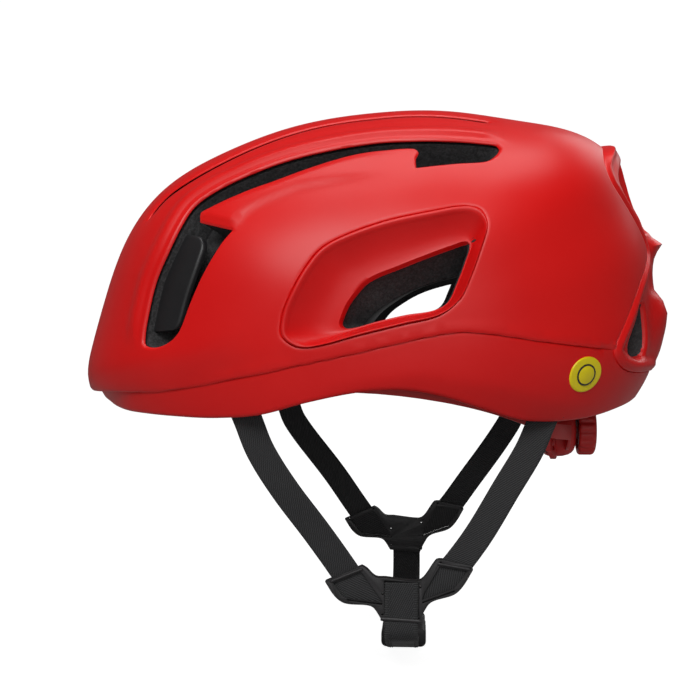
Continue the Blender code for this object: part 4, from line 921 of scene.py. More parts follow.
def shell_loops(spacing):
    """Every outline of the shell as directions, by name, and the seam as an open line."""
    loops = {"brim": brim_line(spacing)[0]}
    rear = half_loop(REAR_EDGE)
    loops["rear"] = from_behind(smooth_curve(rear, step_counts(rear, spacing)), -1)
    grooves, openings, _ = vent_curves(spacing)
    front = smooth_curve(FRONT_VENT, step_counts(FRONT_VENT, spacing), FRONT_VENT_CORNERS)
    window = smooth_curve(FRONT_WINDOW, step_counts(FRONT_WINDOW, spacing))
    slot = thin_slot_outline(spacing)
    for side, sign in SIDES.items():
        loops["groove_" + side] = from_side(grooves, sign)
        loops["side_vent_" + side] = from_side(openings, sign)
        loops["front_vent_" + side] = from_side(front, sign)
        loops["window_" + side] = from_side(window, sign)
        loops["slot_" + side] = from_above(slot, sign)
        for name, port in (("upper_port_", UPPER_PORT), ("lower_port_", LOWER_PORT)):
            loops[name + side] = from_behind(smooth_curve(port, step_counts(port, spacing)), sign)
    half = smooth_curve(SEAM, step_counts(SEAM, spacing), closed=False)
    left = from_side(half[1:], -1)
    brow = unit(onto(shell_radius, [[0, 0, SEAM[0][1]]], 0, -1))
    seam = np.concatenate([left[::-1], brow, left * (1, -1, 1)])
    for end in (0, -1):
        seam[end] = loops["rear"][np.linalg.norm(loops["rear"] - seam[end], axis=1).argmin()]
    return loops, seam


def below_seam(dome, seam):
    """Which triangles lie below the seam."""
    closing = unit(onto(shell_radius, [[0, y, SEAM[-1][1]] for y in (45, 0, -45)], 0, 1))
    return ~within(dome.middle, flatten(np.concatenate([seam, closing])))


OPENINGS = ("side_vent", "front_vent", "slot", "upper_port", "lower_port")


def label_shell(dome, names, seam):
    """A piece name for each triangle, an empty name where the shell is open."""
    label = np.where(below_seam(dome, seam), "lower", "upper").astype(object)
    label[dome.inside(names.index("rear"))] = "rear"
    for side in SIDES:
        label[dome.inside(names.index("groove_" + side))] = "bezel"
        for hole in OPENINGS:
            label[dome.inside(names.index(f"{hole}_{side}"))] = ""
    return label


def turn_under(places):
    """The soft fold over the brow where the skin turns under."""
    x, z = places[:, 0], places[:, 2]
    depth = np.clip(along_table(TURN_UNDER, x) - z, -6, 14)
    return -0.17 * (np.sqrt(depth**2 + 4) + depth) / 2 * step((-40 - x) / 30)


def lower_fold(places):
    """The lower band turns under towards its brim."""
    x, z = places[:, 0], places[:, 2]
    depth = np.clip(along_table(LOWER_CREASE, x) - z, -6, 12)
    return -0.3 * (np.sqrt(depth**2 + 3) + depth) / 2 * step((x + 30) / 30) * step((128 - x) / 30)


def tuck(places):
    """Height of the lower skin's face: below the upper one, and most so under the brow."""
    return -LOWER_STEP - TUCK_DEPTH * step((-places[:, 0] - 112) / 24)


def rear_rise(places):
    """Height of the rear skin's fin and tail over the base surface."""
    rise = np.interp(places[:, 2], REAR_HEIGHTS, REAR_RISES)
    spread = np.abs(places[:, 1])
    fin = 1 - step((spread - 14 - 24 * step((places[:, 2] - 55) / 12)) / 14)
    tail = 1 - step((spread - 33) / 10)
    return rise * np.where(places[:, 2] > 28, fin, tail)


def edge_of(places, targets, reach=12.0):
    """Distance to some targets, found only for the places that may be within reach."""
    low, high = targets.min(axis=0) - reach, targets.max(axis=0) + reach
    near = np.flatnonzero(((places > low) & (places < high)).all(axis=1))
    found = np.full(len(places), 99.0)
    found[near] = nearest(places[near], targets)
    return found


def skin_heights(dome, names, fine, seam):
    """Height of the upper, lower and rear skins' faces over the base surface."""
    places = dome.points * shell_radius(dome.points)[:, None]
    x, y, z = places.T

    def spots(directions):
        return directions * shell_radius(directions)[:, None]

    def at_rim(found, *loops):
        for name in loops:
            found[dome.loop_points[names.index(name)]] = 0
        return found

    def edge(name):
        loops = [f"{name}_{side}" for side in SIDES]
        return at_rim(np.minimum(*(edge_of(places, spots(fine[loop])) for loop in loops)), *loops)

    counts = step_counts(FRONT_VENT, EDGE_STEP / 4)
    split = int(counts[: UPPER_EDGE_END + 1].sum())
    rail_above, rail_below = (
        np.minimum(*(edge_of(places, spots(fine["front_vent_" + side][part]), 60) for side in SIDES))
        for part in (slice(0, split), slice(split, None))
    )
    vent = at_rim(np.minimum(rail_above, rail_below), "front_vent_left", "front_vent_right")
    slot, groove, rear = edge("slot"), edge("groove"), at_rim(edge_of(places, spots(fine["rear"])), "rear")
    ports = np.minimum(edge("upper_port"), edge("lower_port"))
    parting = edge_of(places, spots(seam), 8)
    brim = at_rim(edge_of(places, spots(fine["brim"])), "brim")

    above = rail_above < rail_below
    led = step((z + 9) / 16) * step((64 - x) / 16)
    crest = 1.7 * step((rail_above - 2.4) / 2.6) * (1 - step((rail_above - 6.5) / 7)) * led
    flange = np.where(above, crest, 0)
    finger = step((z - along_table(FINGER_CREASE, x) + 2.5) / 5.5) * step((14 - x) / 34) * step((x + 96) / 12)
    finger = 1.4 * finger * (1 - step((rail_below - 14) / 8)) - 1.3 * finger * (1 - step(rail_below / 5))
    finger = np.where(above, 0, finger)
    upper = flange + finger + turn_under(places)
    upper -= fillet(vent, 0.9) + fillet(slot, 0.6) + fillet(groove, 1.0) + fillet(parting, 0.7)
    upper -= fillet(rear, 0.8)
    upper += 0.35 * bump(parting, 0.2, 3.6) - 0.5 * (1 - step(slot / 5))
    lower = tuck(places) + turn_under(places) + lower_fold(places)
    lower -= fillet(brim, 2.2) + fillet(rear, 0.8) + 0.3 * fillet(parting, 1.0)
    tongue = 1 - step((np.abs(y) - 28) / 9)
    dish = 1.9 * step((rear - 4.4) / 3.4) * (1 - tongue * step((40 - z) / 10)) * (1 - step((z - 42) / 14))
    back = rear_rise(places) * step(rear / 3.2) + 0.9 * bump(rear, 0.3, 5.4) - dish
    back -= fillet(rear, 0.8) + fillet(ports, 1.3)
    return {"upper": upper, "lower": lower, "rear": back}, {"vent": vent, "port": ports, "slot": slot}


def build_shells(red):
    """The three skins from one fine triangulation, so that their seams match."""
    loops, seam = shell_loops(EDGE_STEP)
    fine, fine_seam = shell_loops(EDGE_STEP / 4)
    opening = (0.3, 0.75, 1.3, 2.1, 3.2)
    plans = {
        "groove": (0.35, 0.9, 1.9), "front_vent": (*opening, 4.4, 5.4), "slot": (*opening, 4.6, 6.2),
        "upper_port": opening, "lower_port": opening,
    }
    rows = [offset_rows(loops["brim"], (0.4, 1.0, 1.9, 3.0), EDGE_STEP)]
    inner = (-0.35, -0.9, -1.8, -2.8, -3.8, -4.8, -6.0, -7.4)
    rows.append(offset_rows(loops["rear"], (0.35, 0.9, 1.8, *inner), EDGE_STEP))
    rows.append(offset_rows(loops["rear"], [-d for d in inner] + [-0.35, -0.9, -1.8], EDGE_STEP))
    rows.append(offset_rows(seam, (0.35, 0.85, 1.7, -0.35, -0.85, -1.7), EDGE_STEP, False))
    for side in SIDES:
        for name, distances in plans.items():
            loop = loops[f"{name}_{side}"]
            for way in (1, -1):
                row = offset_rows(loop, [way * d for d in distances], EDGE_STEP)
                rows.append(row[~within(flatten(row), flatten(loop))])
    rows = np.concatenate(rows)
    keep = thinned(rows * 120, 0.3)
    rows = rows[keep]
    fixed = np.concatenate([*loops.values(), seam])
    rows = rows[nearest(rows, fixed) * 120 > 0.22]
    for side in SIDES:
        for name in OPENINGS:
            rows = rows[~within(flatten(rows), flatten(loops[f"{name}_{side}"]))]
        rows = rows[~within(flatten(rows), flatten(loops["groove_" + side]))]
    names = list(loops)
    dome = Dome(list(loops.values()), [seam], rows)
    label = label_shell(dome, names, seam)
    heights, edges = skin_heights(dome, names, fine, fine_seam)
    at_opening = np.full(len(dome.points), 0.05)
    for i, name in enumerate(names):
        if name.rsplit("_", 1)[0] in OPENINGS:
            at_opening[dome.loop_points[i]] = -0.3
    lip = 1.1 - 0.5 * (1 - step(edges["vent"] / 2)) - 0.75 * (1 - step(edges["slot"] / 2))
    deep = 1.1 + 4.5 * (1 - step(edges["port"] / 1.2))
    for key, depth in (("upper", lip), ("lower", 1.1), ("rear", deep)):
        skin = slab(key + "_skin", dome, dome.faces[label == key], heights[key], heights[key] - depth, red,
                    inset=at_opening)
        settle(skin, "helmet", [key + "_shell"])


def build_bezels(red):
    """Dished faces of the side vents: a raised bead, then a scoop rolled into the opening."""
    grooves, openings, inner = vent_curves(1.2)
    depths = {}
    shares = np.concatenate([np.linspace(0, 0.36, 19), np.linspace(0.36, 1, 15)[1:]])
    for side, sign in SIDES.items():
        outer = from_side(grooves, sign)
        hole = from_side(openings, sign)
        start = outer * shell_radius(outer)[:, None]
        gap = np.linalg.norm(hole * shell_radius(hole)[:, None] - start, axis=1)
        rings = []
        for share in shares:
            d = unit(outer + (hole - outer) * share)
            run = share * gap
            bead_end = np.minimum(3.6, 0.36 * gap)
            across = np.clip((run - bead_end * 0.86) / np.maximum(gap - bead_end * 0.86, 1), 0, 1)
            fall = 1 - (1 - across) ** 2.4
            height = 1.2 * bump(run, -0.2, bead_end) ** 0.7 - 1.1 * (1 - step(run)) - SCOOP_DEPTH * fall
            rings.append(d * (shell_radius(d) + height)[:, None])
        wall = from_side(inner, sign, head_radius)
        edge = rings[-1]
        inward = unit(wall * head_radius(wall)[:, None] - edge)
        rolled = [edge + inward * depth for depth in (0.5, 1.4, 2.6)]
        under = [ring - unit(ring) * SHELL_WALL for ring in rings[::-1]]
        under[0] = rolled[-1] - unit(rolled[-1]) * 0.5
        rings = rings + rolled + under
        faces = [f if sign > 0 else f[::-1] for f in ring_faces(len(rings), len(outer), True)]
        depths[side] = np.concatenate(rings[: len(shares)])
        bezel = add_mesh("side_vent_bezel_" + side, np.concatenate(rings), faces, red, 50)
        face_out(bezel)
        settle(bezel, "helmet", ["side_bezel_" + side])
    return depths


def face_out(obj):
    """Turns all faces outwards on a closed mesh."""
    made = bmesh.new()
    made.from_mesh(obj.data)
    bmesh.ops.recalc_face_normals(made, faces=made.faces)
    if made.calc_volume(signed=True) < 0:
        bmesh.ops.reverse_faces(made, faces=made.faces)
    made.to_mesh(obj.data)
    made.free()


# ---------------------------------------------------------------- foam and slip liner


def scoop_floor(points, face):
    """Height over the base surface of a side vent's dished face, at some directions."""
    at = unit(face)
    rise = np.linalg.norm(face, axis=1) - shell_radius(at)
    tree = KDTree(len(at))
    for i, d in enumerate(at):
        tree.insert(d, i)
    tree.balance()
    return np.array([min(rise[i] for _, i, _ in tree.find_n(p, 3)) for p in points])


def build_foam(finish, bezels):
    """One foam body: outer face, channels with floors, tunnels through it, inner wall and brim."""
    loops, seam = shell_loops(FOAM_EDGE)
    names = list(loops)
    dome = Dome(list(loops.values()), [seam], spacing=FOAM_FILL)
    label = label_shell(dome, names, seam)
    places = dome.points * shell_radius(dome.points)[:, None]
    base = shell_radius(dome.points)
    top = np.full(len(dome.points), 0.0)
    under = turn_under(places)
    for key, height in (("upper", under - 1.7), ("lower", tuck(places) + under + lower_fold(places)),
                        ("rear", rear_rise(places) - 1.9)):
        used = np.unique(dome.faces[label == key])
        top[used] = np.minimum(top[used], height[used])
    for side in SIDES:
        used = np.unique(dome.faces[(label == "bezel") & dome.inside(names.index("groove_" + side))])
        top[used] = np.minimum(top[used], scoop_floor(dome.points[used], bezels[side]) - 1.2)
    brim = edge_of(places, loops["brim"] * shell_radius(loops["brim"])[:, None])
    top = base + top - SHELL_WALL - FOAM_GAP - 3.2 * (1 - step(brim / 5))
    floor = np.maximum(base - CHANNEL_DEPTH, head_radius(dome.points) + CHANNEL_FLOOR)
    channel = np.zeros(len(dome.faces), bool)
    for side in SIDES:
        vent, through, slot = (
            dome.inside(names.index(name + side)) for name in ("front_vent_", "window_", "slot_"))
        channel |= vent & ~through | slot
    solid = label != ""
    tunnels = {}
    window = smooth_curve(FRONT_WINDOW, step_counts(FRONT_WINDOW, FOAM_EDGE))
    for side, sign in SIDES.items():
        tunnels["side_vent_" + side] = from_side(vent_curves(FOAM_EDGE)[2], sign, head_radius)
        tunnels["window_" + side] = from_side(window, sign)
        for name, port in (("upper_port_", UPPER_PORT), ("lower_port_", LOWER_PORT)):
            outline = smooth_curve(port, step_counts(port, FOAM_EDGE))
            middle = outline.mean(axis=0)
            inner_end = middle + PORT_INNER_SHARE * (outline - middle)
            tunnels[name + side] = from_behind(inner_end, sign, head_radius)
    low = brim_line(FOAM_EDGE)[1]
    turn = np.arctan2(low[:, 1], low[:, 0])
    level = np.stack([np.cos(turn), np.sin(turn), np.zeros(len(turn))], 1)
    inner = level * head_radius(level)[:, None]
    inner[:, 2] = low[:, 2] + 7
    wall = Dome([unit(inner), *tunnels.values()], spacing=FOAM_FILL)
    kept = np.ones(len(wall.faces), bool)
    for i in range(len(tunnels)):
        kept &= ~wall.inside(i + 1)
    n = len(dome.points)
    partner = dict(zip(dome.loop_points[0], wall.loop_points[0]))
    for i, name in enumerate(tunnels):
        partner.update(zip(dome.loop_points[names.index(name)], wall.loop_points[i + 1]))
    partner = {a: b + 2 * n for a, b in partner.items()}
    points = [dome.points * top[:, None], dome.points * floor[:, None],
              wall.points * head_radius(wall.points)[:, None]]
    faces = [tuple(f) for f in dome.faces[solid]]
    faces += [tuple(f + n) for f in dome.faces[channel]]
    faces += [tuple(f[::-1] + 2 * n) for f in wall.faces[kept]]
    in_channel = {(int(f[i]), int(f[(i + 1) % 3])) for f in dome.faces[channel] for i in range(3)}
    on_solid = {(int(f[i]), int(f[(i + 1) % 3])) for f in dome.faces[solid] for i in range(3)}
    for a, b in open_edges(dome.faces[solid]):
        faces.append((a, a + n, b + n, b) if (b, a) in in_channel else (a, partner[a], partner[b], b))
    for a, b in open_edges(dome.faces[channel]):
        if (b, a) not in on_solid:
            faces.append((a + n, partner[a], partner[b], b + n))
    used, index = np.unique(np.concatenate([np.array(f) for f in faces]), return_inverse=True)
    faces = np.split(index.reshape(-1), np.cumsum([len(f) for f in faces])[:-1])
    foam = add_mesh("foam_liner", np.concatenate(points)[used], faces, finish, 30)
    settle(foam, "helmet", ["eps_liner"])


def build_vent_panels(film):
    """Smooth dark panels behind the front vents."""
    outline = even_curve(VENT_PANEL, 1.2, True)
    for side, sign in SIDES.items():
        loop = from_side(outline, sign)
        dome = Dome([loop], rows=offset_rows_on(loop, (0.5, 1.1, 2.0), shell_radius), spacing=2.5)
        edge = nearest(dome.points, loop) * 110
        top = -5.6 - fillet(edge, 1.2)
        panel = slab("vent_panel_" + side, dome, dome.faces, top, top - 1.2, film, inset=0.0)
        settle(panel, "helmet", ())


def stud_directions():
    """Directions of the four studs by name."""
    tilt = math.radians(62)
    found = {}
    for side, sign in SIDES.items():
        for end, turn in (("front", 128), ("rear", 42)):
            angle = math.radians(turn) * sign
            found[f"{end}_{side}"] = np.array(
                [math.sin(tilt) * math.cos(angle), math.sin(tilt) * math.sin(angle), math.cos(tilt)]
            )
    return found


def wall_normal(radius, direction):
    """Outward normal of a surface at one direction."""
    east = unit(np.cross((0, 0, 1), direction))
    north = np.cross(direction, east)
    ring = unit(np.array([direction + 0.01 * v for v in (east, north, -east, -north)]))
    places = ring * radius(ring)[:, None]
    return unit(np.cross(places[0] - places[2], places[1] - places[3]))


def level_loop(height, count=180):
    """Directions round the inner wall at one height."""
    turn = 2 * math.pi * np.arange(count) / count
    level = np.stack([np.cos(turn), np.sin(turn), np.zeros(count)], 1)
    places = level * head_radius(level)[:, None]
    places[:, 2] = height
    return unit(places)


def build_slip_liner(film, rubber):
    """The thin liner that slides inside the foam, with its windows, and the studs that hold it."""
    loops = [level_loop(-6)]
    for sign in SIDES.values():
        window = smooth_curve(LINER_WINDOW, step_counts(LINER_WINDOW, 3))
        loops.append(from_side(window, sign, head_radius))
        loops.append(from_above(oval(-36, 44, 31, 50), sign, head_radius))
        loops.append(from_behind(oval(-40, -10, 46, 72), sign, head_radius))
        loops.append(from_behind(oval(-60, -28, 0, 20), sign, head_radius))
    loops.append(from_above(oval(-44, 52, -9, 9), 1, head_radius))
    slot = STUD_RADIUS + 1.2
    for direction in stud_directions().values():
        loops.append(ring_about(direction, head_radius, slot + SLIP_TRAVEL, slot + 0.3, 36, 4))
    dome = Dome(loops, spacing=4.5)
    kept = np.ones(len(dome.faces), bool)
    for i in range(1, len(loops)):
        kept &= ~dome.inside(i)
    edge = np.full(len(dome.points), 99.0)
    for loop in loops:
        edge = np.minimum(edge, nearest(dome.points, loop) * 90)
    bead = 0.35 * (1 - step((edge - 0.5) / 1.5))
    inner = -SLIP_CLEARANCE - SLIP_WALL - bead
    liner = slab("slip_film", dome, dome.faces[kept], -SLIP_CLEARANCE, inner, film, head_radius, 0.0)
    settle(liner, "slip", ["slip_liner"])
    neck = SLIP_CLEARANCE + SLIP_WALL + STUD_PLAY
    for name, direction in stud_directions().items():
        normal = wall_normal(head_radius, direction)
        foot = direction * head_radius(direction[None])[0] - 0.6 * normal
        profile = [(0, STUD_RADIUS + 1), (0.7, STUD_RADIUS + 1), (0.9, STUD_RADIUS),
                   (neck - 0.2, STUD_RADIUS), (neck, STUD_RADIUS + 0.3), (neck + 0.1, STUD_HEAD - 0.4),
                   (neck + 0.3, STUD_HEAD), (neck + 0.9, STUD_HEAD), (neck + 1.5, STUD_HEAD - 0.5),
                   (neck + 1.8, STUD_HEAD - 1.3),
                   (neck + 1.8, 1.6), (neck + 1.3, 1.2)]
        stud = lathe("stud_" + name, foot, -normal, profile, rubber, 48)
        settle(stud, "helmet", ["slip_stud_" + name])


def pad_piece(name, node, loop, cloth, thread):
    """A crowned cushion on the slip liner with a sewn border, and its stitches."""
    ring = even_ring(loop, 1.5)
    rows = offset_rows_on(ring, (0.6, 1.3, 2.2, 3.2, 4.2, 5.4), head_radius)
    dome = Dome([ring], rows=rows, spacing=3.0)
    edge = nearest(dome.points, ring) * 88
    outer = -SLIP_CLEARANCE - SLIP_WALL - PAD_GAP
    crown = 1 - (1 - np.clip(edge / 7.5, 0, 1)) ** 2.4
    channel = 0.55 * bump(edge, 2.4, 4.4)
    thick = 0.9 + (PAD_THICKNESS - 0.9) * crown - channel
    top = outer - 0.35 * (1 - np.clip(edge / 2.5, 0, 1)) ** 2
    cushion = slab(name, dome, dome.faces, top, outer - thick, cloth, head_radius, 0.0)
    cushion.data.set_sharp_from_angle(angle=math.radians(70))
    settle(cushion, "slip", [node])
    line = offset_rows_on(ring, (3.4,), head_radius)
    in_channel = 0.9 + (PAD_THICKNESS - 0.9) * (1 - (1 - 3.4 / 7.5) ** 2.4) - 0.55
    depth = head_radius(line) + outer - in_channel - 0.05
    run_stitches(name + "_stitches", line * depth[:, None], thread, "slip")


def even_ring(loop, spacing):
    """A closed loop of directions, evenly spaced on the inner wall."""
    places = even_curve(loop * head_radius(loop)[:, None], spacing, closed=True)
    return unit(places)


def offset_rows_on(loop, distances, radius):
    """Rows beside a closed loop on a surface, on its inner side."""
    places = loop * radius(loop)[:, None]
    course = unit(np.roll(places, -1, axis=0) - np.roll(places, 1, axis=0))
    across = unit(np.cross(loop, course))
    flat = flatten(loop)
    found = []
    for distance in distances:
        row = places + distance * across
        if within(flatten(unit(row)), flat).mean() < 0.5:
            row = places - distance * across
        row = row[nearest(row, places) > 0.9 * distance]
        found.append(unit(row))
    return np.concatenate(found)


def build_pads(cloth, thread):
    """Brow, crown and side pads."""
    across = np.radians(np.linspace(-44, 44, 23))
    edge = []
    for turn, height in [*zip(across, np.full(23, -4.5)), *zip(across[::-1], np.full(23, 13.5))]:
        flat = np.array([[-math.cos(turn), -math.sin(turn), 0]])
        edge.append(np.append(flat[0, :2] * head_radius(flat)[0], height))
    pad_piece("brow_cushion", "brow_pad", unit(np.array(edge)), cloth, thread)
    for side, sign in SIDES.items():
        crown = from_above(oval(-50, 50, 13, 26), sign, head_radius)
        pad_piece("crown_cushion_" + side, "crown_pad_" + side, crown, cloth, thread)
        patch = from_side(smooth_curve(SIDE_PAD, step_counts(SIDE_PAD, 2)), sign, head_radius)
        pad_piece("side_cushion_" + side, "side_pad_" + side, patch, cloth, thread)


# ---------------------------------------------------------------- repeats by Geometry Nodes


class Tree:
    """A Geometry Nodes tree with named inputs."""

    def __init__(self, name, inputs):
        self.group = bpy.data.node_groups.new(name, "GeometryNodeTree")
        self.group.interface.new_socket("Geometry", in_out="INPUT", socket_type="NodeSocketGeometry")
        self.group.interface.new_socket("Geometry", in_out="OUTPUT", socket_type="NodeSocketGeometry")
        self.keys = {}
        for label, kind in inputs.items():
            socket = self.group.interface.new_socket(label, in_out="INPUT", socket_type="NodeSocket" + kind)
            self.keys[label] = socket.identifier
        self.entry = self.group.nodes.new("NodeGroupInput")
        self.exit = self.group.nodes.new("NodeGroupOutput")

    def input(self, label):
        return self.entry.outputs[label]

    def node(self, kind, settings=None, values=None):
        made = self.group.nodes.new(kind)
        for key, value in (settings or {}).items():
            setattr(made, key, value)
        for key, value in (values or {}).items():
            if isinstance(value, bpy.types.NodeSocket):
                self.group.links.new(value, made.inputs[key])
            else:
                made.inputs[key].default_value = value
        return made

    def close(self, geometry):
        """Ends the tree in Realize Instances and Set Material."""
        real = self.node("GeometryNodeRealizeInstances", None, {"Geometry": geometry})
        painted = self.node("GeometryNodeSetMaterial", None, {
            "Geometry": real.outputs[0], "Material": self.input("Material")})
        self.group.links.new(painted.outputs[0], self.exit.inputs[0])

    def run(self, obj, name, values):
        modifier = obj.modifiers.new("repeat", "NODES")
        modifier.node_group = self.group
        for label, value in values.items():
            modifier[self.keys[label]] = value
        return made_plain(obj, name)


def thread_tree():
    """Stitches along a path: capsules of thread at an even spacing, each a little unlike the last."""
    tree = Tree("thread run", {"Spacing": "Float", "Stitch length": "Float", "Thread": "Float",
                               "Unevenness": "Float", "Seed": "Int", "Material": "Material"})
    path = tree.node("GeometryNodeMeshToCurve", None, {"Mesh": tree.entry.outputs[0]})
    even = tree.node("GeometryNodeResampleCurve", {"mode": "LENGTH"}, {
        "Curve": path.outputs[0], "Length": tree.input("Spacing")})
    ball = tree.node("GeometryNodeMeshUVSphere", None, {"Segments": 8, "Rings": 5, "Radius": 1.0})
    size = tree.node("ShaderNodeCombineXYZ", None, {
        0: tree.input("Thread"), 1: tree.input("Thread"), 2: tree.input("Stitch length")})
    stitch = tree.node("GeometryNodeTransform", None, {"Geometry": ball.outputs[0], "Scale": size.outputs[0]})
    course = tree.node("GeometryNodeInputTangent")
    turned = tree.node("FunctionNodeAlignRotationToVector", {"axis": "Z"}, {"Vector": course.outputs[0]})
    least = tree.node("ShaderNodeMath", {"operation": "SUBTRACT"}, {0: 1.0, 1: tree.input("Unevenness")})
    vary = tree.node("FunctionNodeRandomValue", {"data_type": "FLOAT"}, {
        2: least.outputs[0], 3: 1.0, "Seed": tree.input("Seed")})
    placed = tree.node("GeometryNodeInstanceOnPoints", None, {
        "Points": even.outputs[0], "Instance": stitch.outputs[0], "Rotation": turned.outputs[0],
        "Scale": vary.outputs[1]})
    tree.close(placed.outputs[0])
    return tree


THREAD = thread_tree()


def path_object(places, closed=False):
    """A bare line of edges for a tree to follow."""
    mesh = bpy.data.meshes.new("path")
    count = len(places)
    edges = [(i, i + 1) for i in range(count - 1)] + ([(count - 1, 0)] if closed else [])
    mesh.from_pydata((np.asarray(places) * MM).tolist(), edges, [])
    obj = bpy.data.objects.new("path", mesh)
    bpy.context.scene.collection.objects.link(obj)
    return obj


def run_stitches(name, places, finish, body):
    """Border stitches round a pad."""
    made = THREAD.run(path_object(places, True), name, {
        "Spacing": 2.2 * MM, "Stitch length": 0.85 * MM, "Thread": 0.2 * MM, "Unevenness": 0.2,
        "Seed": 1, "Material": finish})
    made.data.polygons.foreach_set("use_smooth", [True] * len(made.data.polygons))
    return settle(made, body, ())


# ---------------------------------------------------------------- straps


def ribbon(name, places, across, finish, width=STRAP_WIDTH, seed=0):
    """Woven webbing along a path: rounded selvedges, a slight crown, and UVs in thousandths of a metre."""
    course = unit(np.gradient(places, axis=0))
    across = np.broadcast_to(np.asarray(across, float), places.shape)
    across = unit(across - (across * course).sum(axis=1, keepdims=True) * course)
    normal = np.cross(course, across)
    run = np.append(0, np.cumsum(np.linalg.norm(np.diff(places, axis=0), axis=1)))
    u = np.concatenate([[-1, -0.985], np.linspace(-0.95, 0.95, 13), [0.985, 1]]) * width / 2
    rim = np.abs(u) / (width / 2)
    selvedge = np.sqrt(np.clip(1 - ((rim - 0.9) / 0.11) ** 2, 0, 1))
    half = STRAP_THICKNESS / 2 * np.where(rim > 0.9, selvedge, 1)
    half = half * (0.86 + 0.14 * step((rim - 0.72) / 0.1))
    section_u = np.concatenate([u, u[-2:0:-1]])
    section_t = np.concatenate([half, -half[-2:0:-1]])
    wander = 0.12 * np.sin(run / 9 + seed)
    rings = places[:, None] + (section_u[None] + wander[:, None])[..., None] * across[:, None] \
        + section_t[None, :, None] * normal[:, None]
    count, n = len(places), len(section_u)
    points = rings.reshape(-1, 3)
    uv = np.stack([np.tile(section_u, count), np.repeat(run, n)], 1)
    faces = ring_faces(count, n) + [tuple(range(n))[::-1], tuple((count - 1) * n + i for i in range(n))]
    obj = add_mesh(name, points, faces, finish, 60, uv)
    face_out(obj)
    return obj


def divider_height(side):
    """Height of a divider's own origin."""
    return -DIVIDER_DROP + (RIGHT_LIFT if side > 0 else 0)


def strap_paths(side):
    """Centre lines of the front and rear straps, from their pockets down to the divider."""
    out, drop, middle = DIVIDER_SPREAD, divider_height(side), DIVIDER_X
    edge = 87.7 - STRAP_WIDTH / 2
    front = [(-57.8, 84.5, -29.0), (-54.0, 84.0, -38.5), (-48.3, 82.6, -53.0), (-37.3, 80.0, -71.0),
             (middle - 38.5, out + 1.8, drop + 31.0), (middle - 28.5, out + 0.2, drop + 17.0),
             (middle - 20.5, out, drop + 5.5)]
    rear = [(edge, 74.5, -30.5), (edge - 4.2, 74.5, -40.0), (edge - 10, 74.6, -53.7), (61.1, 75.0, -71.0),
            (middle + 35.1, out, drop + 31.2), (middle + 26.2, out, drop + 18.5),
            (middle + 19.0, out, drop + 9.5)]
    return {"front": np.array(front) * (1, side, 1), "rear": np.array(rear) * (1, side, 1)}


def flat_across(places):
    """Directions across a strap that lies flat on the wearer's cheek."""
    return np.cross(unit(np.gradient(places, axis=0)), (0, 1, 0))


def build_straps(webbing, plastic):
    """The four strap legs and their anchors."""
    for seed, (side, sign) in enumerate(SIDES.items()):
        for end, corners in strap_paths(sign).items():
            eased = np.delete(corners, 3, axis=0) if sign > 0 else corners
            curve = even_curve(eased, 1.5)
            strap = ribbon(f"{end}_webbing_{side}", curve, flat_across(curve), webbing, seed=seed * 2.1)
            settle(strap, "helmet", [f"{end}_strap_{side}"])
            from_frame(f"strap_anchor_{end}_{side}", 0.5, "helmet", plastic)


def build_chin_straps(webbing, thread):
    """Webbing from each divider's outer face round to the buckle, with a sewn edge."""
    out = DIVIDER_SPREAD + DIVIDER_THICKNESS / 2 + STRAP_THICKNESS / 2 + 0.3
    end, drop = BUCKLE_LENGTH / 2 - 5, -BUCKLE_DROP
    for side, sign in SIDES.items():
        top = divider_height(sign)
        path = [(out, top + 8.5), (out, top - 6), (out, top - 15.5), (70, drop + 10), (50, drop + 3.5),
                (34, drop), (end, drop)]
        corners = np.array([(DIVIDER_X, sign * y, z) for y, z in path])
        curve = even_curve(corners, 1.2)
        strap = ribbon("chin_webbing_" + side, curve, (1, 0, 0), webbing, CHIN_WIDTH, seed=4 + sign)
        course = unit(np.gradient(curve, axis=0))
        normal = unit(np.cross((1, 0, 0), course))
        normal *= np.sign((normal * (0, sign, -0.2)).sum(axis=1, keepdims=True))
        piece = []
        for row, place in enumerate((-CHIN_WIDTH / 2 + 1.6, -CHIN_WIDTH / 2 + 2.6, CHIN_WIDTH / 2 - 1.6)):
            line = curve + normal * (STRAP_THICKNESS / 2 + 0.02) + np.array([place, 0, 0])
            name = f"chin_stitches_{side}_{row}"
            made = THREAD.run(path_object(line[2:-2]), name, {
                "Spacing": 1.9 * MM, "Stitch length": 0.75 * MM, "Thread": 0.17 * MM, "Unevenness": 0.25,
                "Seed": 7 + row, "Material": thread})
            piece.append(made)
        if side == "right":
            for obj in [strap, *piece]:
                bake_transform(obj)
            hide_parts("chin_strap_right")
        else:
            settle(strap, "helmet", ["chin_strap_left"])
            for obj in piece:
                settle(obj, "helmet")


# ---------------------------------------------------------------- dividers


WINGS = {
    "front": [(-30.8, 8.0), (-18.2, 13.2), (-9.1, 0.6), (-8.6, -0.6), (-24.3, 0.9), (-26.6, 2.0)],
    "rear": [(17.0, 16.0), (29.6, 13.9), (23.6, 6.0), (12.5, 1.9), (8.9, 0.6), (9.9, 3.6)],
}
SLITS = {"front": [(-24.5, 0.4), (-8.8, -1.3)], "rear": [(23.6, 4.9), (9.4, -0.4)]}
EYES = [(-31.8, 8.6), (-18.4, 14.5), (17.6, 17.6), (30.6, 15.2), (-8.6, 3.2), (-8.6, -6.0), (8.4, 6.6),
        (7.6, -7.4)]


def thick_line(a, b, width):
    """A slim oblong outline round a line."""
    a, b = np.array(a, float), np.array(b, float)
    course = unit(b - a)
    side = np.array([-course[1], course[0]]) * width / 2
    end = course * width * 0.4
    return np.array([a - side, b - side, b + end, b + side, a + side, a - end])


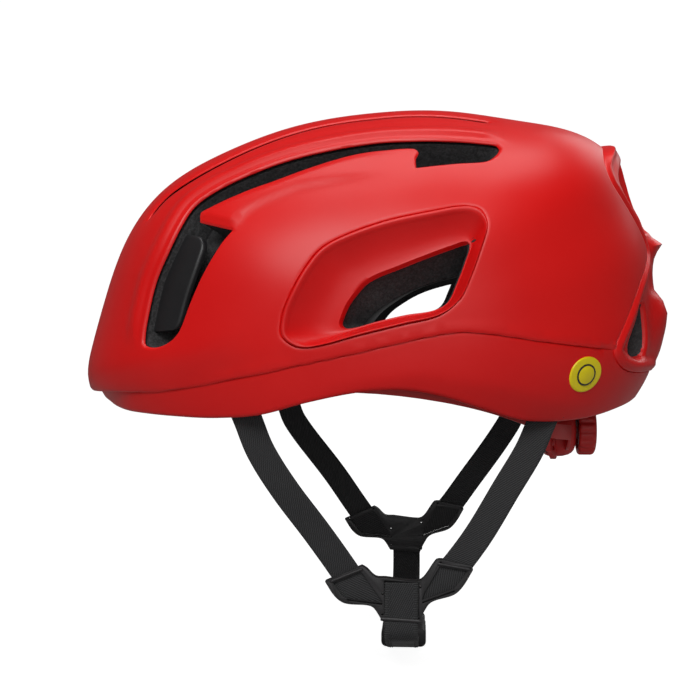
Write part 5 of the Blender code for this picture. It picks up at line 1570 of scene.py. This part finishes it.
def shifted(pairs, sign):
    """A divider's own (x, z) pairs in the helmet's."""
    return np.asarray(pairs, float) + (DIVIDER_X, divider_height(sign))


def build_dividers(plastic, webbing):
    """Moulded strap dividers: rimmed pockets on both faces that show the webbing held in them."""
    half = DIVIDER_THICKNESS / 2
    for side, sign in SIDES.items():
        def span(low, high):
            ends = sorted((sign * low, sign * high))
            return ends[0], ends[1]

        inner, outer = DIVIDER_SPREAD - half, DIVIDER_SPREAD + half
        corners = (0, 1, 8, 9, 14, 15)
        outline = smooth_curve(shifted(DIVIDER_OUTLINE, sign), step_counts(DIVIDER_OUTLINE, 1.6), corners)
        body = plate("divider_frame_" + side, outline, 1, *span(inner, outer), plastic)
        cutters = []
        for end, wing in WINGS.items():
            pocket = even_curve(shifted(wing, sign), 1.2, True, range(len(wing)))
            cutters.append(plate("cut", pocket, 1, *span(outer - 1.3, outer + 3), plastic))
            cutters.append(plate("cut", pocket, 1, *span(inner - 3, inner + 0.9), plastic))
            slit = thick_line(*shifted(SLITS[end], sign), 0.8)
            deep = inner - 3 if sign > 0 else outer - 2.2
            cutters.append(plate("cut", slit, 1, *span(deep, outer + 3), plastic))
        column = [(-7.9, 9.4), (7.9, 8.4), (7.9, -7.0), (-7.9, -6.0)]
        cutters.append(plate("cut", shifted(column, sign), 1, *span(outer - 0.9, outer + 3), plastic))
        for eye in EYES:
            turn = 2 * math.pi * np.arange(12) / 12
            ring = np.stack([np.cos(turn), np.sin(turn)], 1) * 0.55 + shifted([eye], sign)
            cutters.append(plate("cut", ring, 1, *span(inner - 3, outer + 3), plastic))
        body = cut_with(body, cutters)
        body = rounded(body, 0.35, 2, 35)
        settle(body, "helmet", ["divider_" + side])
        for end, wing in WINGS.items():
            rim = np.array([wing[0], wing[1]], float)
            ahead = unit(rim[1] - rim[0])
            up = np.array([-ahead[1], ahead[0]])
            rim = shifted(rim + up * 1.0 + np.array([-ahead * 0.6, ahead * 0.6]), sign)
            line = even_curve(np.insert(rim, 1, [sign * (outer + 0.05)] * 2, axis=1), 0.8)
            bar = tube(f"divider_lip_{end}_{side}", line, 0.75, plastic)
            settle(bar, "helmet", ())
            strap = strap_paths(sign)[end]
            course = unit(strap[-1] - strap[-2])
            patch = wing_patch(f"divider_web_{end}_{side}", wing, sign, outer - 1.15, course, webbing)
            settle(patch, "helmet", ())
            back = wing_patch(f"divider_web_inner_{end}_{side}", wing, sign, inner + 0.75, course, webbing)
            settle(back, "helmet", ())
        bar_line = [(-8.9, -7.6), (-3, -7.9), (3, -8.2), (8.4, -8.6)]
        bar_line = np.insert(shifted(bar_line, sign), 1, sign * (outer + 1.5), axis=1)
        bar = tube("divider_bar_" + side, even_curve(bar_line, 1.0), 1.0, plastic)
        settle(bar, "helmet", ())


def wing_patch(name, wing, sign, level, course, finish):
    """The webbing seen in one pocket, cut to the pocket's outline."""
    pocket = np.array(wing, float)
    middle = pocket.mean(axis=0)
    outline = shifted(middle + (pocket - middle) * 1.04, sign)
    outline = even_curve(outline, 1.5, True, range(len(outline)))
    n = len(outline)
    middle = outline.mean(axis=0)
    rings = []
    for share in (1.0, 0.75, 0.5, 0.25):
        ring = middle + (outline - middle) * share
        rings.append(np.insert(ring, 1, sign * (level + 0.25 * (1 - share)), axis=1))
    tip = (middle[0], sign * (level + 0.25), middle[1])
    points = np.concatenate([*rings, [tip], rings[0] - (0, sign * 0.3, 0)])
    faces = ring_faces(4, n)
    centre, under = 4 * n, 4 * n + 1
    faces += [(3 * n + i, 3 * n + (i + 1) % n, centre) for i in range(n)]
    faces += [(i, (i + 1) % n, under + (i + 1) % n, under + i)[::-1] for i in range(n)]
    faces.append(tuple(under + i for i in range(n)))
    side = np.array([course[2], -course[0]])
    flat = points[:, [0, 2]] - middle
    uv = np.stack([flat @ side * 0.9, flat @ course[[0, 2]]], 1)
    obj = add_mesh(name, points, faces, finish, 60, uv)
    face_out(obj)
    return obj


def tube(name, places, radius, finish, segments=12):
    """A round bar along a path with domed ends."""
    course = unit(np.gradient(places, axis=0))
    side = unit(np.cross(course, (0.1, 1, 0.2)))
    up = np.cross(course, side)
    turn = 2 * math.pi * np.arange(segments) / segments
    circle = np.cos(turn)[None, :, None] * side[:, None] + np.sin(turn)[None, :, None] * up[:, None]
    centres = np.array(places, float)
    rings = centres[:, None] + circle * radius
    first = centres[0] - course[0] * radius * 0.55 + circle[0] * radius * 0.7
    last = centres[-1] + course[-1] * radius * 0.55 + circle[-1] * radius * 0.7
    rings = np.concatenate([first[None], rings, last[None]])
    points = rings.reshape(-1, 3)
    n, total = segments, len(rings)
    faces = [tuple(range(n))[::-1], tuple((total - 1) * n + i for i in range(n)), *ring_faces(total, n)]
    obj = add_mesh(name, points, faces, finish, 60)
    face_out(obj)
    return obj


# ---------------------------------------------------------------- buckle and fit system


def build_buckle(plastic):
    """Side-release buckle from the frame's pieces, with rounded edges and grip ribs."""
    from_frame("buckle_socket", 0.7, "helmet", plastic)
    from_frame("buckle_clip", 0.7, "clip", plastic)
    from_frame("buckle_tongue", 0.5, "clip", plastic)
    for name in ("front", "rear"):
        from_frame("buckle_prong_" + name, 0.4, "prong_" + name, plastic)
    x, z = DIVIDER_X, -BUCKLE_DROP
    for part, body, y0 in (("socket", "helmet", -15), ("clip", "clip", 11.5)):
        for row in range(3):
            for face in (1, -1):
                y = y0 + row * 1.9
                line = np.array([(x - 6 + k * 2.0, y, z + face * 4.35) for k in range(7)])
                name = f"buckle_rib_{part}_{row}_{'upper' if face > 0 else 'lower'}"
                rib = tube(name, line, 0.42, plastic, 8)
                settle(rib, body, ())


def build_fit(red, black, steel, cloth):
    """Dial, its housing, bands and cradle."""
    lobes = 16
    rim, deep = DIAL_RADIUS, DIAL_DEPTH
    cup = rim - 3
    profile = [(0, 4.6), (3.6, 4.6), (3.6, cup), (0.1, cup), (0, cup + 0.1), (0, rim - 0.9),
               (0.25, rim - 0.4), (0.8, rim - 0.05), (1.4, rim), (4.0, rim), (deep - 2.6, rim),
               (deep - 1.7, rim - 0.25), (deep - 1.0, rim - 0.8), (deep - 0.55, rim - 1.6),
               (deep - 0.3, rim - 2.6), (deep - 0.9, rim - 3.3), (deep - 0.9, rim - 3.9),
               (deep - 0.35, rim - 4.6), (deep, rim - 5.6), (deep, 4.4), (deep - 0.3, 3.95),
               (deep - 2.4, 3.7)]

    def grip(i, turn):
        weight = (0, 0, 0, 0, 0, 0.3, 0.8, 1, 1, 1, 1, 0.9, 0.6, 0.25)
        share = weight[i] if i < len(weight) else 0
        return 1 - share * 0.05 * (0.5 + 0.5 * np.cos(lobes * turn)) ** 2

    dial = lathe("fit_dial", (DIAL_X, 0, DIAL_Z), (1, 0, 0), profile, red, 192, grip, 32)
    settle(dial, "dial", ["dial"])
    seat = deep - 2.1
    screw = [(-3.0, 0.9), (seat, 0.9), (seat, 2.8), (seat + 0.9, 2.8), (seat + 1.4, 2.5), (seat + 1.6, 1.9),
             (seat + 1.6, 1.2), (seat + 0.9, 1.15)]

    def socket(i, turn):
        if i < 6:
            return np.ones(len(turn))
        side = (turn % (math.pi / 3)) - math.pi / 6
        return math.cos(math.pi / 6) / np.cos(side)

    screw = lathe("fit_screw", (DIAL_X, 0, DIAL_Z), (1, 0, 0), screw, steel, 72, socket, 30)
    settle(screw, "dial", ["dial_screw"])
    from_frame("pinion", 0.15, "dial", red, 2)
    from_frame("detent_spring", 0.12, "cradle", steel, 2)
    build_housing(red)
    for side, sign in SIDES.items():
        node = "fit_band_" + side
        band = rounded(frame_copy(node, "fit_strip_" + side, red), 0.25, 2)
        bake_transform(band)
        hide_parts(node)
        from_frame("temple_pivot_" + side, 0.4, "helmet", black)
    build_cradle(red, cloth)


def build_housing(red):
    """A rounded hollow cover over the pinion and racks, with slots for the bands."""
    front = DIAL_X - HOUSING_REACH
    outer = [(0, 10.5), (0, 12.6), (0.5, 13.2), (2.0, 13.9), (5, 14.2), (9, 14.0), (12.0, 13.2), (13.6, 12.2),
             (14.6, 11.0), (15.1, 9.6), (15.2, 8.0)]
    inner = [(15.2, 4.2), (14.0, 4.2), (14.0, 8.6), (13.2, 10.6), (11.2, 12.0), (8.5, 12.7), (5, 12.8),
             (1.2, 12.4), (1.2, 10.5)]
    rings = outer + inner
    segments = 96
    turn = 2 * math.pi * np.arange(segments) / segments
    points = []
    for along, radius in rings:
        wide = radius * 1.04
        points.append(np.stack([np.full(segments, front + along), wide * np.cos(turn),
                                DIAL_Z + radius * 0.94 * np.sin(turn)], 1))
    faces = [(a, d, c, b) for a, b, c, d in ring_faces(len(rings), segments, True)]
    cover = add_mesh("dial_cover", np.concatenate(points), faces, red, 40)
    face_out(cover)
    cutters = []
    for side in SIDES.values():
        mark = np.array([(5.5, 6.6), (8.7, 6.6), (8.7, 9.4), (5.5, 9.4)]) + (front, DIAL_Z)
        cutters.append(plate("cut", mark, 1, *sorted((side * 4, side * 20)), red))
    cover = cut_with(cover, cutters)
    cover = rounded(cover, 0.3, 2, 40)
    settle(cover, "cradle", ["dial_housing"])


def build_cradle(red, cloth):
    """The bowed plate that cups the back of the head, with a rolled edge and four oval holes, and its pad."""
    back = DIAL_X - 1.2 - 9.5 - 0.3
    spread, bow, height = 36.0, 6.0, 25.0
    count = 49
    y = np.linspace(-spread, spread, count)
    t = np.linspace(-1, 1, 17)
    end = np.abs(y) / spread
    half = height / 2 * (1 - 0.42 * step((end - 0.55) / 0.45) ** 1.5)
    points, n, m = [], count, len(t)
    for layer in (0, 1):
        for i in range(n):
            for k in range(m):
                rim = step((abs(t[k]) - 0.78) / 0.2) * 0.5 + step((end[i] - 0.93) / 0.07) * 0.4
                x = back - 0.9 - bow * (y[i] / spread) ** 2 + (0.9 + rim if layer == 0 else -0.9)
                points.append((x, y[i], DIAL_Z + t[k] * half[i]))
    shell = add_mesh("nape_cradle", points, sheet_faces(n, m), red, 45)
    face_out(shell)
    cutters = []
    for side in (-1, 1):
        for z0 in (-5.2, 5.2):
            ring = oval(side * 25 - 4.2, side * 25 + 4.2, DIAL_Z + z0 - 2.4, DIAL_Z + z0 + 2.4, 28)
            cutters.append(plate("cut", ring, 0, back - 14, back + 6, red))
    shell = cut_with(shell, cutters)
    shell = rounded(shell, 0.3, 2, 40)
    settle(shell, "cradle", ["cradle"])
    far = back - 1.8 - 0.3
    width, tall, thick = spread - 6, height / 2 - 1.5, 4.0
    pad_points = []
    u = np.linspace(-1, 1, 41)
    v = np.linspace(-1, 1, 17)
    for layer in (0, 1):
        for a in u:
            for b in v:
                edge = (1 - abs(a) ** 6) * (1 - abs(b) ** 4)
                swell = np.sqrt(max(edge, 0))
                yy = a * width * (1 - 0.04 * b * b)
                zz = DIAL_Z + b * (tall - 1.0) * (1 - 0.12 * a**4)
                x = far - bow * (yy / spread) ** 2
                pad_points.append((x if layer == 0 else x - 0.8 - (thick - 0.8) * swell, yy, zz))
    pad = add_mesh("nape_cushion", pad_points, sheet_faces(len(u), len(v)), cloth, 70)
    face_out(pad)
    settle(pad, "cradle", ["cradle_pad"])


def build_badge(yellow, dark):
    """A plain round disc on the lower skin with a fine ring."""
    direction = from_side([BADGE_PLACE], -1)[0]
    loop = ring_about(direction, shell_radius, BADGE_RADIUS, BADGE_RADIUS, 72, 2)
    insides = (BADGE_RADIUS - d for d in (0.15, 0.4, 0.8))
    rows = np.concatenate([ring_about(direction, shell_radius, r, r, 72, 2) for r in insides])
    dome = Dome([loop], rows=rows, spacing=1.4)
    places = dome.points * shell_radius(dome.points)[:, None]
    edge = edge_of(places, loop * shell_radius(loop)[:, None])
    under = tuck(places) + turn_under(places) + lower_fold(places)
    top = under + 0.62 - fillet(edge, 0.4)
    badge = slab("badge_disc", dome, dome.faces, top, under - 0.2, yellow, inset=0.0)
    settle(badge, "helmet", ["side_badge"])
    at = (direction * shell_radius(direction[None])[0])[None]
    foot = at[0] + direction * ((tuck(at) + turn_under(at) + lower_fold(at))[0] + 0.5)
    normal = wall_normal(shell_radius, direction)
    for name, radius, height, finish in (("ring", 5.0, 0.2, dark), ("centre", 4.2, 0.26, yellow)):
        profile = [(-0.3, radius), (height, radius), (height + 0.05, radius - 0.1)]
        disc = lathe("badge_" + name, foot, normal, profile, finish, 64)
        settle(disc, "helmet", ())


# ---------------------------------------------------------------- stage


CAMERA_PLACE = (0.025, -0.68, 0.008)
CAMERA_COURSE = (-0.0556, 1, -0.0267)
# name: place, target, size and power
LIGHTS = {
    "key": ((-0.25, -1.35, 1.05), (0.02, 0, 0.02), (1.0, 0.7), 15),
    "top": ((0.05, -0.1, 1.6), (0, 0, 0), (1.5, 0.9), 12),
    "front": ((0.3, -1.9, 0.3), (0, 0, 0), (1.0, 0.7), 3),
    "back": ((0.9, 1.1, 0.9), (0, 0, 0), (0.9, 0.9), 4),
}


def area_light(name, place, target, size, power):
    data = bpy.data.lights.new(name, "AREA")
    data.shape = "RECTANGLE"
    data.size, data.size_y = size
    data.energy = power
    obj = bpy.data.objects.new(name, data)
    obj.location = place
    obj.rotation_mode = "QUATERNION"
    obj.rotation_quaternion = (Vector(target) - Vector(place)).to_track_quat("-Z", "Y")
    bpy.context.scene.collection.objects.link(obj)
    return obj


def build_stage():
    """A pale floor that sweeps up behind the object, soft lights and the camera."""
    scene = bpy.context.scene
    scene.view_settings.view_transform = "Standard"
    scene.view_settings.look = "None"
    scene.render.film_transparent = False
    ground = Finish("pale floor", (0.3, 0.3, 0.3), 0.9, specular_ior_level=0.1)
    cloud = ground.noise(ground.place(), 3, 2)
    ground.feed("Base Color", ground.mix(cloud, (0.3, 0.3, 0.3), (0.32, 0.32, 0.32)))
    seen = ground.node("ShaderNodeLightPath", out="Is Camera Ray")
    ground.feed("Emission Color", ground.mix(seen, (0, 0, 0), (0.95, 0.95, 0.95)))
    ground.shader.inputs["Emission Strength"].default_value = 1
    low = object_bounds()[0].z / MM - 0.3
    flat, bend, n = 1500, 900, 96
    turns = np.linspace(0, math.pi / 2, 13)
    reach = [*((flat + bend * math.sin(t), bend * (1 - math.cos(t))) for t in turns), (flat + bend, 4 * bend)]
    around = 2 * math.pi * np.arange(n) / n
    points = [(r * math.cos(t), r * math.sin(t), low + z) for r, z in reach for t in around] + [(0, 0, low)]
    faces = [f[::-1] for f in ring_faces(len(reach), n)]
    faces += [(len(reach) * n, i, (i + 1) % n) for i in range(n)]
    floor = add_mesh("floor", points, faces, ground.material, 60)
    world = bpy.data.worlds.new("studio")
    world.use_nodes = True
    background = world.node_tree.nodes["Background"]
    background.inputs["Color"].default_value = (1, 1, 1, 1)
    background.inputs["Strength"].default_value = 0.14
    scene.world = world
    for name, light in LIGHTS.items():
        area_light(name, *light)
    camera = bpy.data.cameras.new("camera")
    camera.lens = 69.33
    camera.sensor_width = 36
    camera.clip_start = 0.01
    holder = bpy.data.objects.new("camera", camera)
    holder.location = CAMERA_PLACE
    holder.rotation_mode = "QUATERNION"
    holder.rotation_quaternion = Vector(CAMERA_COURSE).to_track_quat("-Z", "Y")
    scene.collection.objects.link(holder)
    scene.camera = holder


def main():
    red = paint("red skin", (0.82, 0.009, 0.008), (0.78, 0.006, 0.006), 0.36)
    # A slightly darker copy of the red skin for the side vent bezels: painted shade for the downward-facing
    # scoops.
    red_scoop_shaded = paint("red bezel skin", (0.80, 0.008, 0.008), (0.76, 0.006, 0.006), 0.38)
    red_nylon = moulded("red nylon", (0.66, 0.016, 0.016), (0.78, 0.05, 0.045), 0.42, 1500.0, 0.12)
    foam = bead_foam("charcoal bead foam", (0.017, 0.017, 0.018), (0.072, 0.072, 0.074))
    webbing = webbing_weave("twill webbing", (0.006, 0.006, 0.0065), (0.05, 0.05, 0.052))
    plastic = moulded("black moulded plastic", (0.017, 0.016, 0.017), (0.04, 0.038, 0.04), 0.46)
    film = moulded("slip film", (0.012, 0.012, 0.013), (0.022, 0.022, 0.024), 0.42, 900.0, 0.06)
    rubber = moulded("elastomer", (0.016, 0.016, 0.017), (0.03, 0.03, 0.03), 0.65, 1200.0, 0.2)
    cloth = knitted("knitted cover", (0.006, 0.006, 0.007), (0.04, 0.04, 0.042))
    thread = moulded("black thread", (0.02, 0.02, 0.021), (0.05, 0.05, 0.052), 0.6, 4000.0, 0.4)
    steel = brushed("brushed steel", (0.62, 0.62, 0.61))
    yellow = printed("yellow film", (0.98, 0.80, 0.004), (0.94, 0.74, 0.004))
    dark = printed("dark print", (0.02, 0.02, 0.02), (0.03, 0.03, 0.03))
    build_shells(red)
    build_foam(foam, build_bezels(red_scoop_shaded))
    build_vent_panels(film)
    build_slip_liner(film, rubber)
    build_pads(cloth, thread)
    build_straps(webbing, plastic)
    build_chin_straps(webbing, thread)
    build_dividers(plastic, webbing)
    build_buckle(plastic)
    build_fit(red_nylon, plastic, steel, cloth)
    build_badge(yellow, dark)
    build_stage()


main()
